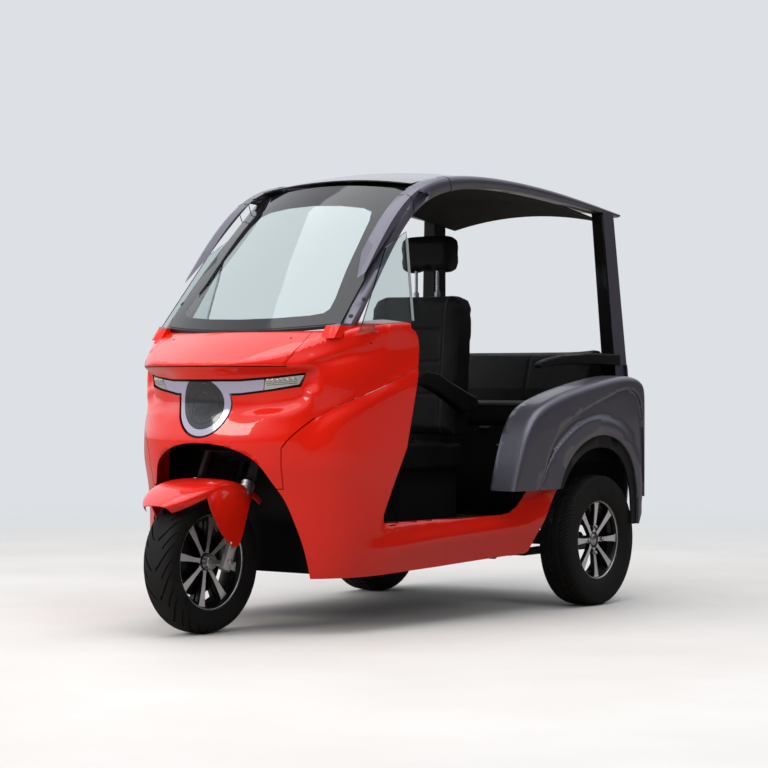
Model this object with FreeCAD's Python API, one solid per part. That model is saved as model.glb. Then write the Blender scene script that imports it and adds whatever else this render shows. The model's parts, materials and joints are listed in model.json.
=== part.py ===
# Three wheeled cabin car, a light electric tricycle with one steered front wheel.
# Forward is -Y, the vehicle's left is +X and up is +Z. The origin is on the ground,
# below the middle of the length and the width.

import FreeCAD
import Part
import math
import os

V = FreeCAD.Vector

# Overall size
wheelbase = 1674.0
rear_overhang = 403.0
overall_width = 1200.0
overall_height = 1650.0
front_tyre_radius = 243.0
front_tyre_width = 126.0
rear_tyre_radius = 251.0
rear_tyre_width = 138.0
rear_wheel_inset = 20.5

# Body walls and gaps
panel_wall = 5.0
panel_gap = 3.0
glass_wall = 5.0
seat_gap = 2.0
cut_overrun = 60.0

half_width = overall_width / 2
rear_track = overall_width - rear_tyre_width - 2 * rear_wheel_inset
overall_length = front_tyre_radius + wheelbase + rear_overhang
front_axle_y = front_tyre_radius - overall_length / 2
rear_axle_y = front_axle_y + wheelbase
axle_front_z = front_tyre_radius
axle_rear_z = rear_tyre_radius


def station(share):
    """Y at a share of the wheelbase behind the front axle, or past 1, of the rear overhang."""
    if share <= 1:
        return front_axle_y + share * wheelbase
    return rear_axle_y + (share - 1) * rear_overhang


def height(share):
    return share * overall_height


def across(share):
    return share * half_width


# Helpers that build solids
def closed(points):
    """A closed wire of straight lines through the points."""
    return Part.makePolygon(list(points) + [points[0]])


def smooth(points):
    """One smooth edge through the points."""
    curve = Part.BSplineCurve()
    curve.interpolate(list(points))
    return curve.toShape()


def prism(wire, run):
    return Part.Face(wire).extrude(run)


def side_prism(outline, x_low, x_high):
    """A solid from an outline of (y, z), run across the car."""
    points = [V(x_low, y, z) for y, z in outline]
    return prism(closed(points), V(x_high - x_low, 0, 0))


def front_prism(outline, y_low, y_high):
    """A solid from an outline of (x, z), run along the car."""
    points = [V(x, y_low, z) for x, z in outline]
    return prism(closed(points), V(0, y_high - y_low, 0))


def top_prism(outline, z_low, z_high):
    """A solid from an outline of (x, y), run upwards."""
    points = [V(x, y, z_low) for x, y in outline]
    return prism(closed(points), V(0, 0, z_high - z_low))


def block(x_low, x_high, y_low, y_high, z_low, z_high):
    return Part.makeBox(x_high - x_low, y_high - y_low, z_high - z_low, V(x_low, y_low, z_low))


def rod(start, end, radius):
    return Part.makeCylinder(radius, (end - start).Length, start, end - start)


def mirrored(shape):
    return shape.mirror(V(0, 0, 0), V(1, 0, 0))


def both(outline):
    """A half outline that starts on the centre line, completed on the other side."""
    return [(-a, b) for a, b in reversed(outline[1:])] + list(outline)


def joined(shapes):
    result = shapes[0]
    for shape in shapes[1:]:
        result = result.fuse(shape)
    return result.removeSplitter()


def knots_for(count):
    """Knots, multiplicities and degree of an even clamped spline with this many poles."""
    degree = min(3, count - 1)
    inner = count - degree - 1
    return list(range(inner + 2)), [degree + 1] + [1] * inner + [degree + 1], degree


def held_edge(poles):
    """A smooth edge that is held by its poles and starts and ends on the outer two."""
    knots, mults, degree = knots_for(len(poles))
    curve = Part.BSplineCurve()
    curve.buildFromPolesMultsKnots(list(poles), mults, knots, False, degree)
    return curve.toShape()


def held_face(rows):
    """A smooth face that is held by a net of poles."""
    u_knots, u_mults, u_degree = knots_for(len(rows))
    v_knots, v_mults, v_degree = knots_for(len(rows[0]))
    surface = Part.BSplineSurface()
    surface.buildFromPolesMultsKnots(
        [list(row) for row in rows], u_mults, v_mults, u_knots, v_knots, False, False,
        u_degree, v_degree)
    return surface.toShape()


def sewn(faces):
    shell = Part.makeShell(faces)
    shell.sewShape()
    solid = Part.makeSolid(shell)
    if solid.Volume < 0:
        solid.reverse()
    return solid


def columns(rows):
    return [list(column) for column in zip(*rows)]


def bulk(rows, corners=None):
    """A solid behind a held face. Each row ends on its own straight-sided corners."""
    corners = corners or [[] for row in rows]
    faces = [held_face(rows)]
    rims = [[row[-1]] + corner + [row[0]] for row, corner in zip(rows, corners)]
    rails = [held_edge(column) for column in columns(rims)]
    for near, far in zip(rails, rails[1:]):
        faces.append(Part.makeRuledSurface(near, far))
    for row, rim in ((rows[0], rims[0]), (rows[-1], rims[-1])):
        lines = [Part.makeLine(a, b) for a, b in zip(rim, rim[1:])]
        faces.append(Part.Face(Part.Wire([held_edge(row)] + lines)))
    return sewn(faces)


def slab(outer, inner):
    """A sheet between two held faces that have the same count of poles."""
    faces = [held_face(outer), held_face(inner)]
    for near, far in ((outer[0], inner[0]), (outer[-1], inner[-1]),
                      (columns(outer)[0], columns(inner)[0]),
                      (columns(outer)[-1], columns(inner)[-1])):
        faces.append(Part.makeRuledSurface(held_edge(near), held_edge(far)))
    return sewn(faces)


def strake(sections):
    """A solid through straight-sided sections, with smooth edges along it."""
    rails = [held_edge(column) for column in columns(sections)]
    faces = [Part.makeRuledSurface(near, far) for near, far in zip(rails, rails[1:] + rails[:1])]
    for section in (sections[0], sections[-1]):
        faces.append(Part.Face(closed(section)))
    return sewn(faces)


def largest(shape):
    return max(shape.Solids, key=lambda piece: piece.Volume)


# The cowl: nose, hood and side panels cut from one smooth skin
cowl_half_share = 0.842
cowl_plan_shares = [
    (0.0, 0.0), (0.20, 0.003), (0.42, 0.014), (0.60, 0.034), (0.74, 0.060), (0.86, 0.090),
    (0.945, 0.130), (0.985, 0.190), (1.0, 0.270), (1.005, 0.370), (1.03, 0.54), (1.08, 0.70),
    (1.155, 0.79), (1.175, 0.87)]
cowl_turn_share = 0.245
# height, set-back of the front, depth of the front's curve, width
cowl_level_shares = [
    (0.108, 0.014, 1.25, 0.940), (0.150, 0.013, 1.27, 0.950), (0.186, 0.012, 1.30, 0.953),
    (0.225, 0.012, 1.30, 0.954), (0.279, 0.008, 1.30, 0.953), (0.314, 0.000, 1.30, 0.958),
    (0.346, -0.010, 1.30, 0.966), (0.370, -0.012, 1.30, 0.970), (0.412, -0.010, 1.32, 0.974),
    (0.461, -0.002, 1.27, 0.980), (0.500, -0.003, 1.18, 0.984), (0.531, -0.020, 1.4, 0.985),
    (0.548, -0.037, 1.65, 0.982), (0.565, -0.037, 1.80, 0.978), (0.60, -0.037, 2.5, 0.974),
    (0.68, -0.037, 2.7, 0.965)]
cowl_rows, cowl_half_columns = 46, 32

# Pressed forms in the cowl. Tables give a height at a place along the car, or across it.
# The side is hollow between an S-shaped edge and the belt's own line.
hollow_low_shares = [
    (0.068, 0.351), (0.077, 0.383), (0.087, 0.408), (0.101, 0.428), (0.130, 0.448), (0.173, 0.472),
    (0.236, 0.501), (0.306, 0.532), (0.40, 0.565)]
hollow_edge_shares = [
    (0.063, 0.400), (0.074, 0.436), (0.091, 0.452), (0.118, 0.468), (0.157, 0.485), (0.242, 0.513),
    (0.310, 0.540), (0.40, 0.573)]
belt_low_shares = [(0.0, 0.526), (0.009, 0.529), (0.041, 0.541), (0.085, 0.557), (0.142, 0.572),
                   (0.215, 0.587), (0.278, 0.599), (0.341, 0.606), (0.87, 0.65)]
belt_high_shares = [(0.0, 0.545), (0.015, 0.547), (0.058, 0.556), (0.087, 0.565), (0.122, 0.576),
                    (0.162, 0.588), (0.216, 0.601), (0.279, 0.611), (0.342, 0.618), (0.87, 0.66)]
hollow_depth = 17.0
hollow_start_shares, hollow_end_shares = (0.050, 0.100), (0.20, 0.42)
scoop_low_shares = [
    (0.0, 0.436), (0.184, 0.439), (0.323, 0.443), (0.429, 0.449), (0.554, 0.458), (0.600, 0.470),
    (0.634, 0.497), (0.661, 0.533), (0.70, 0.56)]
scoop_depth = 30.0
scoop_ramp_share = 0.016
scoop_top_shares = (0.532, 0.550)
scoop_start_shares, scoop_end_shares = (0.12, 0.34), (0.64, 0.69)
bumper_raise = 7.0
bumper_rise_shares, bumper_fall_shares = (0.362, 0.398), (0.404, 0.440)
bumper_end_shares = (0.50, 0.66)
ledge_low_shares = [
    (0.164, 0.172), (0.338, 0.183), (0.523, 0.192), (0.679, 0.200), (0.761, 0.209), (0.819, 0.234),
    (0.865, 0.273), (0.90, 0.31)]
ledge_high_shares = [
    (0.164, 0.187), (0.221, 0.193), (0.355, 0.207), (0.502, 0.217), (0.634, 0.221), (0.698, 0.227),
    (0.734, 0.246), (0.746, 0.275), (0.78, 0.36)]
ledge_raise = 16.0
ledge_foot_share = 0.05
ledge_start_shares = (0.13, 0.36)


def between_points(table, value):
    """The second column of a table at a value of its first, on straight lines between rows."""
    for (a, b), (c, d) in zip(table, table[1:]):
        if value <= c:
            return b + (d - b) * max(0.0, value - a) / (c - a)
    return table[-1][1]


def ramp(value, start, end):
    share = min(1.0, max(0.0, (value - start) / (end - start)))
    return share * share * (3 - 2 * share)


def relief(x_share, y_share, z_share):
    """How far the pressed forms set the cowl's surface in at a place."""
    hollow = ramp(z_share, between_points(hollow_low_shares, y_share),
                  between_points(hollow_edge_shares, y_share))
    hollow *= 1 - ramp(z_share, between_points(belt_low_shares, y_share),
                       between_points(belt_high_shares, y_share))
    hollow *= ramp(y_share, *hollow_start_shares) * (1 - ramp(y_share, *hollow_end_shares))
    low = between_points(scoop_low_shares, x_share)
    scoop = ramp(z_share, low, low + scoop_ramp_share) * (1 - ramp(z_share, *scoop_top_shares))
    scoop *= ramp(x_share, *scoop_start_shares) * (1 - ramp(x_share, *scoop_end_shares))
    bumper = ramp(z_share, *bumper_rise_shares) * (1 - ramp(z_share, *bumper_fall_shares))
    bumper *= 1 - ramp(x_share, *bumper_end_shares)
    ledge_z = between_points(ledge_low_shares, y_share)
    ledge = ramp(z_share, ledge_z - ledge_foot_share, ledge_z)
    ledge *= 1 - ramp(z_share, ledge_z, between_points(ledge_high_shares, y_share))
    ledge *= ramp(y_share, *ledge_start_shares)
    return (hollow_depth * hollow + scoop_depth * scoop - bumper_raise * bumper
            - ledge_raise * ledge)


def sampled(poles, count):
    """Points spread evenly by parameter along the smooth curve that the poles hold."""
    curve = held_edge(poles).Curve
    first, last = curve.FirstParameter, curve.LastParameter
    return [curve.value(first + (last - first) * i / (count - 1)) for i in range(count)]


cowl_plan = [(p.x, p.y) for p in sampled([V(x, y, 0) for x, y in cowl_plan_shares],
                                         cowl_half_columns)]
cowl_levels = [
    (a.x, b.x, b.y, b.z) for a, b in zip(
        sampled([V(row[0], 0, 0) for row in cowl_level_shares], cowl_rows),
        sampled([V(*row[1:]) for row in cowl_level_shares], cowl_rows))]


def cowl_row(level, inset):
    z_share, setback, curve_depth, width = level
    half, depths = [], []
    for x_share, y_share in cowl_plan:
        front = max(0.0, 1 - y_share / cowl_turn_share)
        y_here = y_share * (1 + (curve_depth - 1) * front) + setback * front
        x_here = x_share * width * cowl_half_share
        half.append((across(x_here), station(y_here)))
        depths.append(inset + relief(x_here, y_here, z_share))
    moved = [(0, half[0][1] + depths[0])]
    for i in range(1, len(half)):
        ahead = half[min(i + 1, len(half) - 1)]
        run_x, run_y = ahead[0] - half[i - 1][0], ahead[1] - half[i - 1][1]
        run = math.hypot(run_x, run_y)
        moved.append((half[i][0] - depths[i] * run_y / run, half[i][1] + depths[i] * run_x / run))
    moved[-1] = (moved[-1][0], moved[-1][1] + inset)
    return [V(x, y, height(z_share)) for x, y in both(moved)]


# The top of the cowl, a crowned slope: station, height on the centre line, fall of the crown
hood_station_shares = [
    (-0.14, 0.497, 0.125), (-0.05, 0.545, 0.105), (0.0, 0.575, 0.095), (0.06, 0.607, 0.075),
    (0.12, 0.634, 0.048), (0.18, 0.652, 0.036), (0.28, 0.664, 0.030), (0.50, 0.668, 0.030)]
crown_share_points = [0.0, 0.3, 0.6, 0.9, 1.2]


def above_hood(drop):
    """Everything above the hood's surface, or above that surface lowered by the drop."""
    rows, corners = [], []
    top = height(1)
    for y_share, z_share, fall in hood_station_shares:
        y = station(y_share)
        half = [(across(s), height(z_share - fall * s * s) - drop) for s in crown_share_points]
        rows.append([V(x, y, z) for x, z in both(half)])
        corners.append([V(rows[-1][-1].x, y, top), V(rows[-1][0].x, y, top)])
    return bulk(rows, corners)


cowl_made = {}


def cowl(inset):
    """The whole cowl as a solid, set in from its outside by the inset."""
    if inset not in cowl_made:
        body = bulk([cowl_row(level, inset) for level in cowl_levels])
        cowl_made[inset] = body.cut(above_hood(inset))
    return cowl_made[inset]


def cowl_skin(outer_inset, inner_inset):
    return cowl(outer_inset).cut(cowl(inner_inset))


arch_shares = [
    (0.0, 0.391), (0.167, 0.386), (0.30, 0.369), (0.371, 0.350), (0.423, 0.318), (0.480, 0.279),
    (0.516, 0.242), (0.564, 0.182), (0.592, 0.120), (0.599, 0.08)]
far_y = overall_length
front_cut_share = 0.12
front_arch = prism(
    Part.Wire([
        smooth([V(across(x), -far_y, height(z)) for x, z in both(arch_shares)]),
        Part.makeLine(
            V(across(arch_shares[-1][0]), -far_y, height(arch_shares[-1][1])),
            V(-across(arch_shares[-1][0]), -far_y, height(arch_shares[-1][1])))]),
    V(0, far_y + station(front_cut_share), 0))

# The seam between the nose and the side panels
seam_front_shares = [
    (0.480, 0.30), (0.488, 0.355), (0.494, 0.383), (0.533, 0.404), (0.575, 0.424), (0.624, 0.445),
    (1.3, 0.445), (1.3, 0.80)]
seam_side_shares = [
    (-0.15, 0.25), (0.087, 0.25), (0.087, 0.445), (0.118, 0.468), (0.157, 0.485), (0.242, 0.513),
    (0.310, 0.540), (0.45, 0.59), (0.45, 0.80), (-0.15, 0.80)]


def nose_region(grow):
    """The space that holds the nose and hood, grown downwards by the gap at its seams."""
    front = [(across(x) + grow, height(z) - grow) for x, z in seam_front_shares]
    outline = [(x, z) for x, z in front] + [(-x, z) for x, z in reversed(front)]
    side = [(station(y), height(z) - grow) for y, z in seam_side_shares]
    return front_prism(outline, -far_y, far_y).common(
        side_prism(side, -overall_width, overall_width))


# Rear edge of the cowl at the doorway, the sill and the sill's rear end
door_edge_shares = [
    (-0.15, 0.116), (0.074, 0.116), (0.20, 0.118), (0.42, 0.124), (0.717, 0.136),
    (0.730, 0.141), (0.814, 0.2765),
    (0.722, 0.2765), (0.711, 0.262), (0.690, 0.241), (0.665, 0.229), (0.640, 0.2255),
    (0.262, 0.218), (0.243, 0.219), (0.235, 0.226), (0.2355, 0.243), (0.305, 0.381),
    (0.331, 0.501), (0.344, 0.560), (0.3475, 0.590), (0.343, 0.612), (0.333, 0.624),
    (0.320, 0.630), (0.30, 0.70), (-0.15, 0.70)]
door_edge = side_prism([(station(y), height(z)) for y, z in door_edge_shares],
                       -overall_width, overall_width)

# The opening in the cowl's top that the windscreen and the dashboard fill
dash_opening_shares = [
    (0.0, 0.094), (0.20, 0.0995), (0.35, 0.111), (0.50, 0.129), (0.57, 0.139), (0.60, 0.150),
    (0.615, 0.18), (0.62, 0.25), (0.63, 0.45)]
dash_cut_shares = (0.56, 0.8)
dash_opening = top_prism([(across(x), station(y)) for x, y in both(dash_opening_shares)],
                         height(dash_cut_shares[0]), height(dash_cut_shares[1]))

# The hood's outline, seen from above
hood_outline_shares = [
    (0.0, -0.040), (0.10, -0.038), (0.20, -0.033), (0.30, -0.022), (0.375, -0.011), (0.447, 0.004),
    (0.507, 0.025), (0.537, 0.050), (0.541, 0.075), (0.533, 0.095), (0.515, 0.123), (0.505, 0.20)]
hood_bottom_share, hood_above_share = 0.549, 0.9


def hood_region(grow):
    outline = [(across(x) + grow, station(y) - (grow if x == 0 else 0))
               for x, y in hood_outline_shares]
    outline[0] = (0, outline[0][1])
    return top_prism(both(outline), height(hood_bottom_share) - grow, height(hood_above_share))


# The lamp: a strip across the nose with a round lens below its middle
lamp_centre_share = 0.4725
lamp_rim_radius = 111.0
lamp_lens_radius = 87.0
lamp_surround = 8.0
strip_shares = [(0.0, 0.517), (0.25, 0.5175), (0.42, 0.523), (0.565, 0.531)]
strip_low_shares = [(0.54, 0.512), (0.42, 0.503), (0.24, 0.494), (0.0, 0.49)]
indicator_start_share = 0.37
recess_depth = 8.0
lamp_face_depth = 4.0


def strip_prism(grow):
    top = [(across(x), height(z) + grow) for x, z in strip_shares]
    low = [(across(x), height(z) - grow) for x, z in strip_low_shares]
    half = top[:-1] + [(top[-1][0] + grow, top[-1][1]), (low[0][0] + grow, low[0][1])] + low[1:]
    outline = half + [(-x, z) for x, z in reversed(half[1:-1])]
    return front_prism(outline, -far_y, station(front_cut_share))


def lamp_disc(radius):
    return Part.makeCylinder(radius, far_y + station(front_cut_share),
                             V(0, -far_y, height(lamp_centre_share)), V(0, 1, 0))


def lamp_region(grow):
    upper = block(-overall_width, overall_width, -far_y, far_y, 0, height(strip_shares[0][1]) + grow)
    return strip_prism(grow).fuse(lamp_disc(lamp_rim_radius + grow).common(upper))


tip_cut_shares = (0.45, 0.56)


def tip_region(side, gap):
    start = across(indicator_start_share) + gap
    lean = (height(strip_shares[0][1]) - height(strip_low_shares[-1][1])) / 2
    low, high = height(tip_cut_shares[0]), height(tip_cut_shares[1])
    outline = [(side * (start - lean), low), (side * (start + lean), high),
               (side * overall_width, high), (side * overall_width, low)]
    return front_prism(outline, -far_y, station(front_cut_share))


skin = cowl_skin(0, panel_wall).common(door_edge).cut(front_arch).cut(dash_opening)
nose_space = nose_region(0)
hood_panel = skin.common(hood_region(0)).common(nose_space)
nose_panel = skin.common(nose_space).cut(hood_region(panel_gap)).cut(lamp_region(lamp_surround))
side_skin = skin.cut(nose_region(panel_gap))
left_half = block(0, overall_width, -far_y, far_y, 0, overall_height)

# The sill's top face, which the doorway is entered over
sill_depth = 62.0
sill_top_shares = (0.2180, 0.2225)
sill_run_shares = (0.236, 0.66)
sill_top = cowl_skin(panel_wall, sill_depth).common(
    block(0, overall_width, station(sill_run_shares[0]), station(sill_run_shares[1]),
          height(sill_top_shares[0]), height(sill_top_shares[1])))
side_panel_left = side_skin.common(left_half).fuse(sill_top).removeSplitter()
side_panel_right = mirrored(side_panel_left)

lamp_housing = cowl_skin(recess_depth + panel_wall, recess_depth + 2 * panel_wall).common(
    lamp_region(lamp_surround + 2 * panel_wall)).cut(front_arch)
lamp_layer = cowl_skin(lamp_face_depth, recess_depth + panel_wall)
headlamp_lens = lamp_layer.common(lamp_disc(lamp_lens_radius)).common(
    block(-overall_width, overall_width, -far_y, far_y, 0, height(strip_shares[0][1])))
strip_all = lamp_layer.common(lamp_region(0)).cut(lamp_disc(lamp_lens_radius + panel_gap / 2))
indicators = strip_all.common(tip_region(1, 0)).fuse(strip_all.common(tip_region(-1, 0)))
lamp_strip = strip_all.cut(tip_region(1, -panel_gap)).cut(tip_region(-1, -panel_gap))

# The windscreen: bowed lines across the car from its foot to its head
screen_line_shares = [
    (0.097, 0.6225, 0.155, 0.635, 0.650), (0.165, 0.702, 0.215, 0.702, 0.640),
    (0.262, 0.806, 0.305, 0.796, 0.622), (0.350, 0.893, 0.385, 0.878, 0.598),
    (0.423, 0.950, 0.450, 0.933, 0.572)]
screen_seal_wall = 9.0


def parabola(reach, edge, middle):
    """Three poles that hold the bow between two edges and its middle."""
    top = middle * 2 - edge
    return [V(-reach, edge.y, edge.z), V(0, top.y, top.z), V(reach, edge.y, edge.z)]


def screen_rows(margin, back):
    rows = []
    for y_mid, z_mid, y_end, z_end, x_end in screen_line_shares:
        middle = V(0, station(y_mid) + back, height(z_mid))
        edge = V(0, station(y_end) + back, height(z_end))
        reach = across(x_end) + margin
        far = middle + (edge - middle) * (reach / across(x_end)) ** 2
        rows.append(parabola(reach, far, middle))
    return rows


def screen_sheet(margin, start, end):
    return slab(screen_rows(margin, start), screen_rows(margin, end))


window_shares = [
    (0.0, 0.647), (0.25, 0.649), (0.45, 0.654), (0.52, 0.659), (0.543, 0.668), (0.540, 0.690),
    (0.505, 0.750), (0.478, 0.810), (0.452, 0.862), (0.425, 0.884), (0.36, 0.893), (0.20, 0.900),
    (0.0, 0.903)]
window_half = [(across(x), height(z)) for x, z in window_shares]
window_outline = window_half + [(-x, z) for x, z in reversed(window_half[1:-1])]
window = front_prism(window_outline, -far_y, far_y)
windscreen_whole = screen_sheet(0, 0, screen_seal_wall)
screen_clear = screen_sheet(panel_gap / 2, -panel_gap / 2, screen_seal_wall + panel_gap / 2)
hood_panel = largest(hood_panel.cut(screen_clear))
side_panel_left = largest(side_panel_left.cut(screen_clear))
side_panel_right = mirrored(side_panel_left)
windscreen_seal = windscreen_whole.cut(window)
windscreen = screen_sheet(0, 0, glass_wall).common(window)

# The rails that frame the windscreen's sides and run on along the roof
rail_shares = [
    (0.112, 0.606, 0.181, 0.610, 0.697), (0.190, 0.705, 0.243, 0.690, 0.690),
    (0.270, 0.808, 0.318, 0.790, 0.682), (0.348, 0.890, 0.390, 0.866, 0.672),
    (0.430, 0.945, 0.460, 0.915, 0.668), (0.530, 0.972, 0.550, 0.942, 0.678),
    (0.680, 0.980, 0.690, 0.955, 0.695), (0.860, 0.974, 0.860, 0.951, 0.710),
    (1.15, 0.956, 1.15, 0.936, 0.722), (1.96, 0.929, 1.92, 0.920, 0.722)]
rail_width = 58.0
rail_edge = 11.0
roof_gap = 3.0
# where the rail's rounded outer edge lies between its top and low lines, and how far it is out
rail_round_shares = [(0.0, -2.0), (0.1, -0.6), (0.39, 0.0), (0.86, 0.0), (1.0, -1.0)]


def rail_section(row):
    y_top, z_top, y_low, z_low, x_share = row
    top = V(0, station(y_top), height(z_top))
    low = V(0, station(y_low), height(z_low))
    down = low - top
    x_out, x_in = across(x_share), across(x_share) - rail_width
    outer = [V(x_out + rail_edge * out, 0, 0) + top + down * share for share, out in rail_round_shares]
    return [V(x_in, 0, 0) + top] + outer + [V(x_in, 0, 0) + low]


rail_whole = strake([rail_section(row) for row in rail_shares])
rail_line = [(across(row[-1]) - rail_width - roof_gap, station(row[0])) for row in rail_shares]
between_rails = top_prism(rail_line + [(-x, y) for x, y in reversed(rail_line)], 0, 2 * overall_height)
screen_cut = screen_sheet(rail_width, -cut_overrun, screen_seal_wall + panel_gap)
roof_rail_left = largest(rail_whole.cut(screen_cut).cut(cowl(0)))
roof_rail_right = mirrored(roof_rail_left)

# The roof: a crowned sheet between the rails, and the headliner below it
roof_station_shares = [
    (0.442, 0.943, 0.964), (0.50, 0.957, 0.981), (0.60, 0.968, 0.993), (0.70, 0.972, 0.999),
    (0.85, 0.969, 0.997), (1.06, 0.955, 0.985), (1.45, 0.938, 0.968), (1.94, 0.922, 0.952)]
roof_reach_share = 0.65
roof_wall = 4.0
headliner_drop = 26.0


def roof_rows(drop):
    rows = []
    for y_share, z_edge, z_mid in roof_station_shares:
        rows.append(parabola(across(roof_reach_share),
                             V(0, station(y_share), height(z_edge) - drop),
                             V(0, station(y_share), height(z_mid) - drop)))
    return rows


roof_panel = slab(roof_rows(0), roof_rows(roof_wall))
headliner = slab(roof_rows(headliner_drop), roof_rows(headliner_drop + roof_wall))
roof_panel, headliner = [largest(sheet.common(between_rails).cut(screen_cut))
                         for sheet in (roof_panel, headliner)]

# Rear pillars, leaning back and out towards their feet
pillar_foot_shares = (1.70, 1.93, 0.520, 0.690, 0.790)
pillar_head_shares = (1.60, 1.80, 0.930, 0.635, 0.722)


def pillar_section(row):
    y_front, y_rear, z, x_in, x_out = row
    return [V(across(x), station(y), height(z))
            for x, y in ((x_in, y_front), (x_out, y_front), (x_out, y_rear), (x_in, y_rear))]


rear_pillar_left = strake([pillar_section(pillar_foot_shares), pillar_section(pillar_head_shares)])
rear_pillar_left = largest(rear_pillar_left.cut(rail_whole).cut(headliner).cut(roof_panel))
rear_pillar_right = mirrored(rear_pillar_left)

# Quarter glass beside the windscreen, leaning in towards the rail
quarter_foot_shares = [(0.165, 0.6165, 0.770), (0.338, 0.6290, 0.800)]
quarter_head_shares = [(0.30, 0.800, 0.676), (0.372, 0.838, 0.676)]


def quarter_points(shift):
    foot_front, foot_rear = quarter_foot_shares
    head_front, head_rear = quarter_head_shares
    return [V(across(x) - shift, station(y), height(z))
            for y, z, x in (foot_front, foot_rear, head_rear, head_front)]


quarter_left = slab([quarter_points(0)[:2], quarter_points(0)[:1:-1]],
                    [quarter_points(glass_wall)[:2], quarter_points(glass_wall)[:1:-1]])
quarter_left = largest(quarter_left.cut(roof_rail_left))
quarter_left = largest(quarter_left.cut(cowl(0)))
quarter_glasses = Part.makeCompound([quarter_left, mirrored(quarter_left)])

# Rear fenders: smooth skins with a rounded shoulder, open below and on the inner side
fender_shares = [
    (0.621, 0.270, 0.975), (0.632, 0.310, 0.980), (0.655, 0.375, 0.986), (0.680, 0.425, 0.993),
    (0.715, 0.460, 1.0), (0.777, 0.482, 1.0), (0.850, 0.500, 1.0), (0.950, 0.518, 1.0),
    (1.176, 0.532, 1.0), (1.45, 0.537, 1.0), (1.65, 0.532, 0.997), (1.80, 0.520, 0.975),
    (1.90, 0.500, 0.925), (1.973, 0.470, 0.840)]
fender_inner_share = 0.800
fender_foot_share = 0.10
fender_shoulder = 46.0
# how far in and down the rounded shoulder's poles lie, and the poles down the side
shoulder_pole_shares = [(0.0, 1.0), (0.083, 0.333), (0.5, 0.05), (1.0, 0.0)]
side_pole_shares = (0.0, 0.33, 0.67)
fender_step = 10.0


def fender_rows(inset):
    rows, corners = [], []
    for y_share, z_share, x_share in fender_shares:
        y, s = station(y_share), fender_shoulder
        x, z = across(x_share) - inset, height(z_share) - inset
        x_in, foot = across(fender_inner_share), height(fender_foot_share)
        rows.append([V(x, y, foot + (z - foot) * share) for share in side_pole_shares]
                    + [V(x - s * inward, y, z - s * drop) for inward, drop in shoulder_pole_shares]
                    + [V(x_in - cut_overrun, y, z)])
        corners.append([V(x_in - cut_overrun, y, foot)])
    return rows, corners


def fender_body(inset):
    body = bulk(*fender_rows(inset))
    front = station(fender_shares[0][0]) + inset
    rear = station(fender_shares[-1][0]) - inset
    x_in = across(fender_inner_share) if inset <= fender_step else 0
    return body.common(block(x_in, overall_width, front, rear, 0, overall_height))


arch_ring_start_share = 0.9
arch_outer_shares = [
    (0.796, 0.20), (0.797, 0.277), (0.830, 0.333), (0.896, 0.379), (0.992, 0.397), (1.31, 0.373),
    (1.52, 0.321), (1.60, 0.255), (1.603, 0.18)]
arch_inner_shares = [
    (0.815, 0.20), (0.819, 0.277), (0.854, 0.321), (0.908, 0.355), (0.992, 0.368), (1.26, 0.348),
    (1.42, 0.303), (1.49, 0.242), (1.50, 0.18)]


def arch_prism(shares, x_low):
    points = [V(x_low, station(y), height(z)) for y, z in shares]
    wire = Part.Wire([smooth(points), Part.makeLine(points[-1], points[0])])
    return prism(wire, V(overall_width, 0, 0))


fender_side_shares = [
    (0.55, 0.2785), (0.90, 0.2785), (0.90, 0.184), (1.62, 0.184), (1.70, 0.215), (1.99, 0.30),
    (1.99, 0.70), (0.55, 0.70)]
fender_side = side_prism([(station(y), height(z)) for y, z in fender_side_shares], 0, overall_width)
groove_shares = [
    (0.700, 0.20), (0.713, 0.284), (0.729, 0.310), (0.749, 0.345), (0.778, 0.389), (0.820, 0.420),
    (0.888, 0.450), (0.975, 0.478), (1.195, 0.497), (1.461, 0.503), (1.616, 0.485), (1.700, 0.445),
    (1.755, 0.38), (1.80, 0.28), (1.82, 0.18)]
flare_shares = [
    (0.703, 0.20), (0.717, 0.281), (0.738, 0.318), (0.771, 0.358), (0.821, 0.393), (0.880, 0.422),
    (0.950, 0.438), (1.05, 0.436), (1.314, 0.417), (1.506, 0.383), (1.643, 0.335), (1.685, 0.27),
    (1.69, 0.18)]
fender_full = fender_body(0)
fender_low = fender_body(fender_step)
sunk = arch_prism(groove_shares, 0).cut(arch_prism(flare_shares, 0))
fender_shell = fender_full.cut(sunk).fuse(fender_low).cut(fender_body(fender_step + panel_wall))
rear_fender_left = fender_shell.common(fender_side).cut(arch_prism(arch_outer_shares, 0))
rear_fender_left = largest(rear_fender_left.cut(rear_pillar_left))
rear_fender_right = mirrored(rear_fender_left)
arch_ring_wall = 6.0
arch_left = largest(fender_low.cut(fender_body(fender_step + arch_ring_wall)).common(
    fender_side).common(arch_prism(arch_outer_shares, across(arch_ring_start_share))).cut(
        arch_prism(arch_inner_shares, 0)))
arch_trims = Part.makeCompound([arch_left, mirrored(arch_left)])

# Floor pan
floor_top_share = 0.208
floor_wall = 12.0
floor_half_share = 0.72
floor_front_share = 0.215
bench_front_share = 0.87
floor_top = height(floor_top_share)
frame_top = floor_top - floor_wall
bench_front = station(bench_front_share)
floor_half = across(floor_half_share)

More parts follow.
